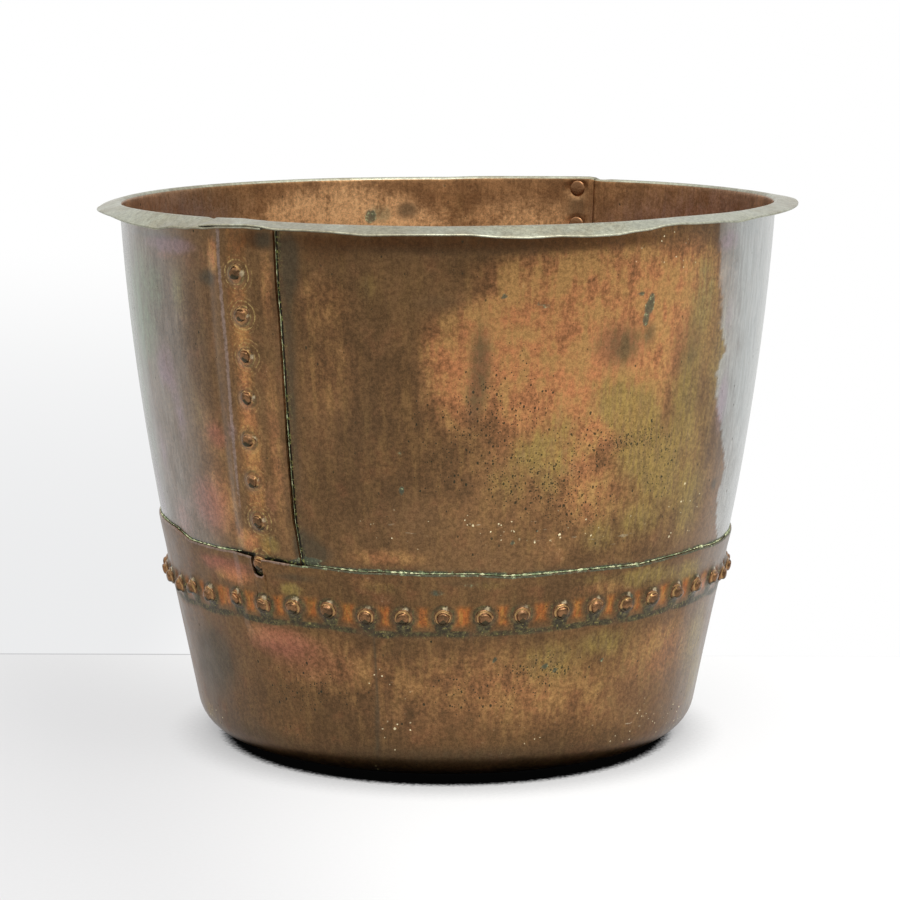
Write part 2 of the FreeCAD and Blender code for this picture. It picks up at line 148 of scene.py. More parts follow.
# ----------------------------------------------------------------------------- stains, painted shadow and painted highlight
# each kind: (azimuth, height, half width in degrees, half height, strength)
WALL_STAINS_AND_SHADOW = {
    "orange": [
        (12, 338, 10, 44, 1), (1.5, 316, 4.5, 34, 0.9), (8.6, 360, 7, 16, 0.8), (21, 335, 10, 60, 0.95),
        (27, 385, 12, 26, 0.85), (36, 345, 8, 50, 0.7), (44, 385, 7, 26, 0.6), (14, 395, 9, 14, 0.6),
        (30, 300, 8, 40, 0.6), (25.9, 383, 2.6, 7, 1.3), (21.7, 256, 4, 18, 0.8), (27.2, 273, 3, 9, 1.1),
        (17, 372, 6, 12, 0.6), (-21, 374, 6, 24, 0.4), (-41.8, 401, 1.4, 14, 0.9), (14, 290, 7, 34, 0.6),
        (26, 228, 5, 22, 0.55), (-36.2, 340, 1.6, 60, 0.6), (-36, 250, 2.4, 60, 0.6),
        (-31, 250, 1.6, 70, 0.45), (-40, 182, 3, 10, 0.8), (-2, 340, 2.4, 22, 0.55), (35, 318, 4, 20, 0.5),
        (-12, 178, 8, 7, 0.5), (-30.5, 380, 1.6, 34, 0.5), (-47, 240, 5, 50, 0.3),
        (-45.5, 206, 4.5, 24, 0.5), (-165, 385, 20, 40, 0.4), (150, 300, 20, 100, 0.35),
        (26, 310, 36, 130, 0.4), (34, 225, 26, 60, 0.2), (40, 372, 22, 50, 0.3), (-14, 250, 22, 90, 0.12),
        (100, 270, 26, 100, 0.35), (-108, 290, 26, 110, 0.4), (190, 240, 24, 70, 0.35),
        (-20, 320, 6, 40, 0.3)],
    "dark": [
        (-26, 398, 1.9, 24, 1.1), (-43.6, 384, 2.2, 7, 0.9), (5.6, 326, 2.2, 36, 0.75),
        (4.3, 296, 1.6, 20, 0.6), (-1, 374, 6, 8, 0.35), (60, 216, 0.7, 5, 1), (-27.4, 182, 1.6, 14, 1.1),
        (-24, 178, 3, 8, 0.9), (-26, 184, 3, 15, 0.7), (-26.8, 350, 1.2, 70, 0.7),
        (-26.9, 265, 0.9, 60, 0.6), (30, 338, 5.5, 20, 0.75), (-30.6, 416, 2, 8, 0.8),
        (-46, 330, 1.5, 40, 0.35), (-52, 245, 1.6, 34, 0.3), (36, 345, 1.2, 10, 0.6), (45, 330, 5, 30, 0.4),
        # the oval at (0, 412) ending this line and the one at (-60, 412) opening the next are painted
        # shadow under the flange
        (-15, 290, 6, 50, 0.3), (-8, 215, 9, 24, 0.25), (60, 260, 2, 50, 0.4), (0, 412, 30, 5, 0.35),
        (-60, 412, 14, 4, 0.5), (178, 395, 3, 12, 0.8), (130, 330, 6, 60, 0.5), (-130, 240, 6, 50, 0.6)],
    "olive": [
        (33, 287, 5.5, 22, 1), (35.8, 263, 5, 26, 0.9), (41.4, 237, 5.5, 32, 0.95),
        (51.5, 209, 4.5, 26, 0.6), (28.6, 302, 4, 14, 0.7), (38, 200, 5, 13, 0.7), (29.3, 190, 4, 12, 0.6),
        (48.3, 372, 3.6, 34, 0.6), (19, 262, 4.5, 32, 0.75), (13, 262, 3, 16, 0.6), (46, 290, 3.4, 40, 0.7),
        (36, 235, 26, 70, 0.3), (50, 300, 8, 120, 0.38), (55, 330, 3, 40, 0.5), (-52, 372, 2.4, 24, 0.5),
        (-50, 280, 2, 24, 0.35), (10, 235, 4, 20, 0.4), (-13, 385, 2, 14, 0.4), (120, 300, 12, 90, 0.4),
        (-100, 250, 14, 80, 0.4), (170, 260, 8, 50, 0.5), (-34.5, 182, 2.4, 8, 0.9)],
    "sea": [
        (-66, 357, 7, 52, 0.6), (-78, 340, 12, 60, 0.5), (-59, 374, 3, 20, 0.5), (-74, 250, 5, 60, 0.4),
        (-52, 372, 2.4, 24, 0.3), (48.3, 372, 3.6, 34, 0.3), (-100, 300, 12, 70, 0.4),
        (80, 300, 10, 90, 0.3)],
    # painted shadow under the flange: a dark brown band just below the bend
    "flange_shadow": [
        (0, 417, 34, 8, 0.85), (24, 415, 16, 6, 0.6), (-20, 408, 8, 12, 0.4), (-33, 415, 4, 8, 0.5),
        (60, 412, 20, 6, 0.4)],
    "violet": [
        (-58.8, 309, 3.8, 20, 0.8), (-56, 270, 2.2, 30, 0.5), (-74.6, 200, 4, 40, 0.5),
        (58.4, 280, 2.2, 26, 0.9), (-54.5, 406, 8, 7, 0.9), (54.6, 408, 3.6, 9, 0.9), (57, 350, 2, 20, 0.4),
        (-66, 240, 3, 30, 0.4), (-40.5, 268, 1.6, 10, 0.5)],
    "pink": [
        (-61, 185, 5, 22, 0.6), (-45, 262, 3, 12, 0.6), (-50, 205, 6, 24, 0.85), (-33, 215, 2, 26, 0.35),
        (30, 262, 2.4, 8, 0.5), (-56, 398, 6, 5, 0.5), (23, 246, 3, 8, 0.5)],
    "salt": [
        (6, 204, 9, 14, 0.7), (18, 196, 10, 16, 0.7), (-8, 198, 6, 14, 0.6), (32, 192, 8, 16, 0.6),
        (50, 200, 5, 30, 0.7), (41, 405, 9, 16, 0.5), (33, 424, 6, 8, 0.5), (-17, 205, 3, 8, 0.3)],
    "pits": [
        (19.3, 234, 5, 16, 1), (32.6, 262, 4.5, 9, 1.2), (25.2, 262, 6, 22, 0.7), (12.8, 239, 6, 22, 0.7),
        (38, 266, 3, 9, 1), (10, 290, 7, 40, 0.5), (24, 215, 7, 20, 0.6), (41, 240, 4, 26, 0.6),
        (3, 270, 8, 40, 0.3)],
    "green": [
        (-7.8, 231, 0.35, 4.2, 1.2), (-8.2, 260, 0.6, 4, 0.6), (1.2, 214, 0.35, 4, 0.7),
        (35.9, 370, 0.7, 6, 1), (35.3, 363, 0.8, 7, 1), (34.7, 355, 0.7, 6, 1), (16.2, 370, 0.9, 3, 0.9),
        (14.8, 372, 0.7, 2, 0.8), (9.2, 378, 0.4, 2, 0.8), (33.6, 375, 1.1, 2.5, 0.7),
        (22.2, 351, 0.3, 2.5, 0.8), (-26.5, 172, 3, 3, 0.8), (-34, 186, 3, 7, 0.35),
        (11.9, 190, 0.6, 3, 0.6)],
}
INSIDE_STAINS_AND_HIGHLIGHT = {
    # painted highlight: the strong orange ovals from -172 to -140 degrees are the bright patch on the back
    # left of the inner wall
    "orange": [
        (-160, 392, 11, 34, 1.6), (-172, 380, 10, 30, 0.9), (165, 385, 14, 30, 0.6),
        (-140, 370, 12, 40, 0.8), (120, 370, 14, 40, 0.4), (0, 300, 30, 60, 0.6), (-152, 398, 8, 24, 0.9)],
    "violet": [
        (-116, 395, 24, 40, 0.7), (120, 390, 30, 50, 0.6), (150, 330, 20, 60, 0.3)],
    "olive": [
        (-120, 390, 24, 50, 0.6), (178, 400, 5, 20, 0.3)],
    "sea": [
        (-166.5, 398, 2.6, 9, 0.8)],
    "dark": [
        (-172, 400, 2.4, 9, 1), (140, 330, 10, 60, 0.6), (154, 403, 4, 12, 0.5), (60, 330, 20, 60, 0.6)],
    "green": [
        (-164.6, 396, 1.4, 7, 0.9)],
}
PAN_STAINS = {
    "orange": [
        (-24, 92, 14, 26, 0.4), (2, 92, 16, 26, 0.32), (18, 84, 14, 26, 0.3), (-8, 60, 20, 30, 0.3),
        (22, 55, 18, 26, 0.28), (50, 90, 14, 30, 0.4), (40, 60, 20, 40, 0.25), (-45, 152, 6, 8, 0.8),
        (-15, 158, 5, 5, 0.3), (30, 150, 8, 8, 0.4), (100, 80, 30, 34, 0.3), (180, 80, 34, 36, 0.3),
        (-120, 80, 30, 36, 0.3), (-38, 108, 8, 8, 0.5)],
    "pink": [
        (-35, 104, 9, 14, 0.7), (-27, 88, 10, 18, 0.4), (-47, 158, 10, 8, 0.7), (-10, 50, 20, 24, 0.25)],
    "dark": [
        (-57, 78, 9, 30, 0.8), (-64, 60, 8, 30, 0.6), (0, 20, 40, 10, 0.5), (-50, 24, 14, 12, 0.5),
        (40, 60, 8, 30, 0.3), (-14.2, 80, 0.45, 50, 0.9), (-14.8, 40, 0.5, 30, 0.8), (4, 160, 6, 5, 0.4),
        (52, 70, 10, 30, 0.3), (-29, 158, 5, 4, 0.6), (120, 50, 16, 30, 0.5), (-150, 60, 16, 30, 0.5)],
    "olive": [
        (20, 95, 8, 18, 0.5), (40, 84, 20, 40, 0.3), (33, 106, 5, 10, 0.6), (42, 154, 8, 9, 0.9),
        (55, 150, 6, 10, 0.8), (28, 157, 5, 6, 0.5), (66, 90, 6, 30, 0.6), (-12, 155, 5, 6, 0.35),
        (74, 50, 8, 30, 0.6), (8, 158, 4, 5, 0.4), (-30.5, 148, 2.4, 6, 0.9), (-68, 24, 5, 12, 0.5),
        (150, 90, 14, 30, 0.5)],
    "salt": [
        (47.5, 34, 12, 14, 0.9), (60, 28, 9, 14, 0.9), (-12.3, 80, 4, 20, 0.6), (27.8, 58, 2, 8, 0.7),
        (20.5, 31, 4, 8, 0.7), (-66, 26, 5, 9, 0.9), (55, 122, 6, 4, 0.7), (-14.2, 8, 2, 5, 1.2),
        (0, 40, 20, 20, 0.3)],
    "pits": [
        (20, 88, 7, 12, 1), (-30, 70, 9, 16, 0.5), (8, 70, 10, 16, 0.4)],
    "green": [
        (9.7, 98, 0.5, 2.5, 1), (20.1, 91, 0.7, 3, 1), (22.5, 88, 0.5, 2, 0.9), (33, 91, 0.7, 2, 0.8),
        (-2, 152, 2, 4, 0.5), (5, 158, 3, 3, 0.4), (38, 140, 0.6, 3, 0.7)],
}

# where the pale glancing sheen of the right side, a painted reflection, begins: (azimuth, height)
SHORE = np.array([
    (68.2, 162), (64.8, 184), (62.5, 203), (64.2, 225), (61.9, 242), (58.1, 268), (55.9, 285), (54.6, 307),
    (56.9, 323), (54.2, 343), (54.0, 355), (52.6, 382), (52.0, 401), (51.5, 417), (51.3, 430)])
# strength of the pale glancing sheen, a painted reflection, round the walls and round the pan: (azimuth,
# strength)
WALL_SHEEN = np.array([
    (-180, 0.5), (-90, 0.8), (-76, 0.7), (-66, 0.47), (-52, 0.46), (-44, 0.26), (-38, 0.14), (40, 0.14),
    (52, 0.12), (70, 0.3), (120, 0.4), (180, 0.5)])
PAN_SHEEN = np.array([
    (-180, 0.4), (-90, 0.3), (-66, 0.1), (-54, 0.05), (54, 0.05), (62, 0.25), (90, 0.4), (180, 0.4)])
# the sheets' waver: (turns round the vessel, reach)
WAVERS = ((2, 0.18), (3, 0.16), (5, 0.16), (8, 0.15), (13, 0.13), (21, 0.11), (34, 0.08), (47, 0.06))


# --------------------------------------------------------------------------- formulas
def ramp(number, low, high):
    """Smooth rise from 0 at low to 1 at high: 3t^2 - 2t^3 of the clipped share t."""
    share = np.clip((np.asarray(number, float) - low) / (high - low), 0, 1)
    return share * share * (3 - 2 * share)


def rise(number, low, high):
    """Straight rise from 0 at low to 1 at high."""
    return np.clip((np.asarray(number, float) - low) / (high - low), 0, 1)


def turned(theta, middle):
    """Azimuth counted from a middle one, between -180 and 180 degrees."""
    return (np.asarray(theta, float) - middle + 180) % 360 - 180


def around(table, theta):
    """Height from an (azimuth, height) table, straight between its rows, closed at 360."""
    return np.interp(theta, table[:, 0], table[:, 1], period=360)


def wall_radius(height):
    """Radius of the inner sheet's outer side: a long arc of radius BOW."""
    slope = np.arcsin((np.asarray(height, float) - BOW_Z) / BOW)
    return BOW_R + BOW * np.cos(slope)


def nearest_rivet(theta, height, places):
    """Distance along the sheet to the nearest of the places, by Pythagoras on arc and height."""
    theta, height = np.broadcast_arrays(theta, height)
    closest = np.full(theta.shape, 999.0)
    radius = wall_radius(height)
    for azimuth, level in places:
        arc = np.radians(turned(theta, azimuth)) * radius
        closest = np.minimum(closest, np.hypot(arc, height - level))
    return closest


def dents(theta, height):
    """Slow waver of hammered sheet: seeded sines of azimuth and height, 1/k smaller each."""
    chance = np.random.default_rng(5)
    total = 0.0
    for turns, reach in WAVERS:
        phase, lean, tilt = chance.uniform(0, 6.28, 3)
        wave = np.sin(np.radians(theta) * turns + phase + 1.2 * np.sin(height / 61.0 + lean))
        total = total + reach * wave * np.cos(height / (300.0 / (1 + turns / 9)) + tilt)
    return total


def relief(theta, height):
    """How far the sheets are driven outwards: dents, a raised band along the front seam,
    and a flat-topped boss at every rivet."""
    girth = nearest_rivet(theta, height, np.concatenate([GIRTH, CROSSING]))
    seams = nearest_rivet(theta, height, np.concatenate([FRONT_SEAM, BACK_SEAM]))
    front = turned(theta, 0)
    band = ramp(front, -43.2, -41.6) * (1 - ramp(front, -33.6, -31.8))
    band = band * ramp(height, 176, 200) * (1 - ramp(height, 398, 414))
    out = 3.0 * (1 - ramp(girth, 3.4, 10.5)) + 0.5 * (1 - ramp(girth, 9, 17))
    out = np.maximum(out, 1.0 * band + SEAM_SWELL * (1 - ramp(seams, 3.6, 10.5)))
    calm = 1 - 0.6 * ramp(height, 380, 424)
    ground = ramp(height, 12, 60)
    below_rim = 1 - ramp(height, 405, 424) * (np.abs(front + 36) < 20)
    return out * below_rim + dents(theta, height) * calm * ground


def drift(theta, height):
    """Seam lines wander: degrees to add, full at the step and the exposed edge of the
    front seam and nothing 8 degrees to the left and 4 to the right."""
    front = turned(theta, 0)
    step_line = np.interp(height, (165, 173, 190, 323, 353, 380, 409), (-0.9, -0.9, -0.6, 0.5, 0.4, 0.2, 0))
    edge_line = np.interp(height, (171, 203, 230, 323, 357, 382, 419), (0.5, -0.1, 0, 0.1, 0, -0.3, -0.3))
    near = ramp(front, -48, -40.3)
    share = rise(front, -39.7, -28.6)
    far = 1 - ramp(front, -28.0, -24.0)
    return near * far * ((1 - share) * step_line + share * edge_line)


def lip_height(theta):
    """Edge of the pan's lip, with the half-round notch cut down round the lowest seam rivet."""
    middle, half, foot, curve = NOTCH
    across = np.abs(turned(theta, middle)) / half
    bowl = foot + curve * (1 - np.sqrt(np.clip(1 - across * across, 0, 1)))
    edge = around(LIP_EDGE, theta)
    return np.where(across < 1, np.minimum(bowl, edge), edge)


def droop(theta):
    """Slope of the flange that brings its lower edge to the height in the table."""
    shift = around(RIM_TOP, theta) - RIM
    reach = math.hypot(BEND, FLANGE)
    return np.arccos((around(TIP_EDGE, theta) - BEND_Z - shift) / reach) - math.atan2(FLANGE, BEND)


def blots(theta, height, places):
    """Soft ovals: each leaves bare 1 - strength * fall of what the others left, where fall
    goes from 1 at 0.15 to 0 at 1.6 half widths."""
    bare = np.ones(np.broadcast(theta, height).shape)
    for azimuth, level, wide, tall, strength in places:
        distance = np.hypot(turned(theta, azimuth) / wide, (height - level) / tall)
        bare = bare * (1 - min(strength, 0.97) * (1 - ramp(distance, 0.15, 1.6)))
    return 1 - bare


# ------------------------------------------------------------------------------ meshes
def grid_faces(rows, columns, around_rows=False, around_columns=False):
    """Quads of a grid whose vertex (row, column) has the number row * columns + column."""
    row = np.arange(rows if around_rows else rows - 1)[:, None]
    column = np.arange(columns if around_columns else columns - 1)[None, :]
    above = (row + 1) % rows
    beside = (column + 1) % columns
    corners = [row * columns + column, row * columns + beside,
               above * columns + beside, above * columns + column]
    shape = (len(row), column.shape[1])
    return np.stack([np.broadcast_to(corner, shape) for corner in corners], -1).reshape(-1, 4)


def fan_faces(ring, pole):
    """Triangles from each edge of a closed ring of vertices to one pole."""
    return np.stack([ring, np.roll(ring, -1), np.full(len(ring), pole)], 1)


def make_mesh(name, points, faces, values=None, sharp=38.0):
    """Object of the points (mm) and the face lists, with float attributes on its vertices."""
    mesh = bpy.data.meshes.new(name)
    corners = np.concatenate([part.reshape(-1) for part in faces]).astype(np.int32)
    totals = np.concatenate([np.full(len(part), part.shape[1]) for part in faces]).astype(np.int32)
    mesh.vertices.add(len(points))
    mesh.vertices.foreach_set("co", (points * MM).astype(np.float32).reshape(-1))
    mesh.loops.add(len(corners))
    mesh.loops.foreach_set("vertex_index", corners)
    mesh.polygons.add(len(totals))
    mesh.polygons.foreach_set("loop_start", np.concatenate([[0], np.cumsum(totals)[:-1]]).astype(np.int32))
    mesh.update(calc_edges=True)
    mesh.validate()
    mesh.polygons.foreach_set("use_smooth", np.ones(len(mesh.polygons), bool))
    mesh.set_sharp_from_angle(angle=math.radians(sharp))
    for kind, value in (values or {}).items():
        layer = mesh.attributes.new(kind, "FLOAT", "POINT")
        layer.data.foreach_set("value", np.asarray(value, np.float32).reshape(-1))
    made = bpy.data.objects.new(name, mesh)
    bpy.context.scene.collection.objects.link(made)
    return made


def placed(radius, theta, height):
    """Points (mm) at a radius, azimuth and height."""
    turn = np.radians(theta)
    return np.stack(np.broadcast_arrays(radius * np.sin(turn), -radius * np.cos(turn), height), -1)


def stations(start, end):
    """Azimuths from start to end, WIDE_PITCH apart, or FINE_PITCH near a seam line."""
    marks = [start]
    while marks[-1] < end - 1e-6:
        near = min(abs(turned(marks[-1], line)) for line in SEAM_LINES)
        marks.append(min(end, marks[-1] + (FINE_PITCH if near < NEAR_SEAM else WIDE_PITCH)))
    return np.array(marks)


def wall_marks(theta, height, inner, down):
    """Stain strengths of the walls, with painted shade, highlights and reflection, from azimuth, height,
    which side, and the way down the flange.
    """
    outer = 1 - inner
    marks = {}
    for kind, places in WALL_STAINS_AND_SHADOW.items():
        within = blots(theta, height, INSIDE_STAINS_AND_HIGHLIGHT.get(kind, []))
        marks[kind] = outer * blots(theta, height, places) + inner * within
    front = turned(theta, 0)
    lip = lip_height(theta)
    over_lip = height - lip
    marks["green"] = np.maximum(marks["green"], outer * (1 - ramp(np.abs(over_lip - 0.8), 0.2, 2.0))
                                * np.where(front > -30, 0.8, 0.25))
    edge_line = -28.25 + np.interp(height, (171, 203, 323, 382, 419), (0.5, -0.1, 0.1, -0.3, -0.3))
    past_edge = front - edge_line
    beside_edge = ramp(past_edge, 0, 0.3) * (1 - ramp(past_edge, 0.5, 1.6))
    # crud and painted shade: darker just above the lip, beside the front lap's edge and in a ring round
    # each seam rivet
    marks["crud_and_shade"] = outer * ((1 - ramp(over_lip, 0.5, 7)) * 0.55 + 0.5 * beside_edge)
    seam = nearest_rivet(theta, height, np.concatenate([FRONT_SEAM, BACK_SEAM]))
    marks["crud_and_shade"] = np.maximum(marks["crud_and_shade"], outer * 0.45 * (1 - ramp(np.abs(seam - 7.0), 0.6, 2.6)))
    marks["groove"] = outer * 0.3 * ramp(seam, 8, 12) * (1 - ramp(np.abs(turned(theta, -36.4)), 1.4, 3.6))
    marks["seam"] = np.minimum(seam, 30)
    zone = sum(1 - ramp(np.abs(turned(theta, middle)), 3.2, 4.6) for middle in (-36.2, 154.1))
    strong = ramp(height, 300, 350) + 1 - ramp(height, 205, 225)
    marks["ripple"] = outer * zone * (0.35 + 0.65 * strong)
    marks["boss"] = outer * (1 - ramp(seam, 5, 9))
    # painted highlight along the ridge where the front lap steps up
    step_line = -40.4 + np.interp(height, (165, 190, 323, 380, 409), (-0.7, -0.4, 0.6, 0.4, 0.2))
    upright = outer * (down < 0.1)
    marks["pale"] = upright * (1 - ramp(np.abs(front - step_line), 0.2, 0.8)) * ramp(height, 180, 240)
    # painted shade: near black along the gap at the front lap's edge and in the crevice above the pan's lip
    marks["gap"] = upright * (1 - ramp(np.abs(past_edge - 0.12), 0.1, 0.42))
    uneven = 0.8 + 0.2 * np.sin(np.radians(theta) * 61)
    crevice = ramp(front, -90, -70) * (1 - ramp(front, -28, -25)) * uneven
    marks["gap"] = np.maximum(marks["gap"], outer * crevice * (1 - ramp(over_lip, 0.8, 2.6)))
    # painted highlight at the upper right of each front seam rivet
    marks["glint"] = outer * (1 - ramp(nearest_rivet(theta - 1.2, height - 1.2, FRONT_SEAM), 1.0, 3.6))
    marks["flange"] = ramp(down, 0.02, 0.12) + 0 * theta
    marks["inside"] = inner * (1 - marks["flange"])
    # painted reflection: the pale glancing sheen's strength by azimuth, strongest past the shore on the
    # right
    side = np.interp(front, WALL_SHEEN[:, 0], WALL_SHEEN[:, 1])
    frayed = 0.35 * np.sin(height / 3.1) * np.sin(height / 7.7 + 1)
    shore = np.interp(height, SHORE[:, 1], SHORE[:, 0]) + frayed
    past_shore = ramp(front, shore - 0.25, shore + 0.35) * (1 - ramp(front, 96, 120))
    side = np.maximum(side, past_shore * (0.72 + 0.28 * ramp(front, shore + 2, shore + 14)))
    marks["sheen"] = side * (1 - marks["inside"]) * (1 - marks["flange"]) * (1 - 0.7 * marks["pale"])
    return marks


def wall_sheet(name, span, rise_span, standing):
    """A wall sheet: its section, offset by its layer, carried round its span of azimuths.

    The section runs up the outer side, round the bend, down the flange, round the tip
    and back along the inner side.  Points lie on the inner sheet's outer line plus an
    offset along its normal: layer * STEP outside and layer * STEP - THICK inside.
    """
    theta = stations(*span)[None, :]
    layer = rise(theta, *rise_span)
    level = np.linspace(FOOT, WALL_TOP, WALL_ROWS)[:, None]
    slope = np.arcsin((level - BOW_Z) / BOW)
    wide = np.ones_like(theta)
    base_r, base_z = (BOW_R + BOW * np.cos(slope)) * wide, level * wide
    normal_r, normal_z = np.cos(slope) * wide, np.sin(slope) * wide
    down = np.zeros_like(base_r)
    fall = droop(theta)
    share = np.linspace(0, 1, 7)[1:, None]
    angle = math.radians(180 - LEAN) - share * (math.radians(90 - LEAN) + fall)
    bend = [BEND_R + BEND * np.cos(angle), BEND_Z + BEND * np.sin(angle), -np.cos(angle), -np.sin(angle),
            BEND_SHARE * share + 0 * angle]
    along = np.linspace(0, FLANGE - THICK / 2, 7)[1:, None]
    flat = [BEND_R + BEND * np.sin(fall) + along * np.cos(fall),
            BEND_Z + BEND * np.cos(fall) - along * np.sin(fall),
            -np.sin(fall) + 0 * along, -np.cos(fall) + 0 * along,
            BEND_SHARE + (1 - BEND_SHARE) * along / FLANGE + 0 * fall]
    upright = (base_r, base_z, normal_r, normal_z, down)
    line = [np.concatenate(parts) for parts in zip(upright, bend, flat)]
    outside = layer * STEP
    sides = []
    for sign in (1, -1):
        edge = outside - THICK / 2 + sign * THICK / 2
        tip = outside - THICK / 2 + sign * THICK / 2 * np.cos(TIP_TURN)
        past = THICK / 2 * np.sin(TIP_TURN)
        last = [part[-1:] for part in line]
        radius = np.concatenate([line[0] + edge * line[2], last[0] + tip * last[2] + past * np.cos(fall)])
        height = np.concatenate([line[1] + edge * line[3], last[1] + tip * last[3] - past * np.sin(fall)])
        down = np.concatenate([line[4], last[4] + 0.05 + 0 * tip])
        side = [radius, height, down, np.full(radius.shape, 0.0 if sign > 0 else 1.0)]
        sides.append(side if sign > 0 else [part[::-1] for part in side])
    radius, height, down, inner = [np.concatenate(pair) for pair in zip(*sides)]
    flat_height = np.minimum(height, WALL_TOP)
    azimuth = theta + drift(theta, flat_height) + 0 * radius
    if name == "right_wall_sheet":
        azimuth = azimuth - 1.1 * down * (1 - ramp(theta, -39.7, -34))
    radius = radius + relief(azimuth, flat_height) + standing(theta, flat_height)
    radius = radius - np.clip(radius.max(axis=0) - REACH, 0, None) * np.clip(down, 0, 1)
    height = height + (around(RIM_TOP, theta) - RIM) * ramp(height, 200, 420)
    marks = wall_marks(azimuth, flat_height, inner, down)
    points = placed(radius, azimuth, height).reshape(-1, 3)
    rows, columns = radius.shape
    half = rows // 2
    near = np.arange(half - 1)
    start = np.stack([near, near + 1, rows - 2 - near, rows - 1 - near], 1) * columns
    faces = [grid_faces(rows, columns, around_rows=True), start, start[:, ::-1] + columns - 1]
    return make_mesh(name, points, faces, marks)


def pan_marks(theta, height, inner, lift):
    """Stain strengths of the pan, with painted shade, highlights and reflection, from azimuth, height, side
    and the way up its lip.
    """
    outer = 1 - inner
    marks = {kind: outer * blots(theta, height, PAN_STAINS[kind]) for kind in PAN_STAINS}
    marks.update({kind: 0 * height for kind in ("violet", "sea", "flange_shadow", "ripple", "gap", "flange")})
    places = np.concatenate([GIRTH, CROSSING])
    rivet = nearest_rivet(theta, height, places)
    # painted shade just under each girth rivet; crud in a ring round each and in a line below the row
    under = nearest_rivet(theta, height + 8.5, places)
    row = np.interp(theta, places[:, 0], places[:, 1], period=360)
    patchy = 0.75 + 0.25 * np.sin(np.radians(theta) * 37) * np.sin(np.radians(theta) * 11 + 1)
    halo = 0.6 * (1 - ramp(np.abs(rivet - 7.8), 0.8, 3.0))
    below_row = patchy * (1 - ramp(np.abs(height - row + 14.0), 0.8, 4.2))
    marks["crud_and_shade"] = outer * np.maximum(np.maximum(1 - ramp(under, 3.0, 9.0), halo), below_row)
    marks["groove"] = outer * 0.8 * ramp(rivet, 9.0, 13.5) * (1 - ramp(np.abs(height - row), 3, 12))
    salted = turned(theta, 0) > -30
    marks["green"] = np.maximum(marks["green"], outer * ramp(lift, 0.97, 1.0) * np.where(salted, 0.6, 0.1))
    # painted highlight along the lip's edge
    marks["pale"] = outer * ramp(lift, 0.975, 1.0) * np.where(salted, 0.5, 1.0)
    marks["seam"] = np.full(height.shape, 30.0)
    marks["boss"] = outer * (1 - ramp(rivet, 5.5, 9.5))
    # painted highlight just above and right of each girth rivet
    marks["glint"] = outer * (1 - ramp(nearest_rivet(theta - 0.5, height - 5.6, places), 0.8, 4.2))
    marks["inside"] = inner
    # painted reflection: the pale glancing sheen's strength by azimuth
    marks["sheen"] = outer * np.interp(turned(theta, 0), PAN_SHEEN[:, 0], PAN_SHEEN[:, 1])
    return marks


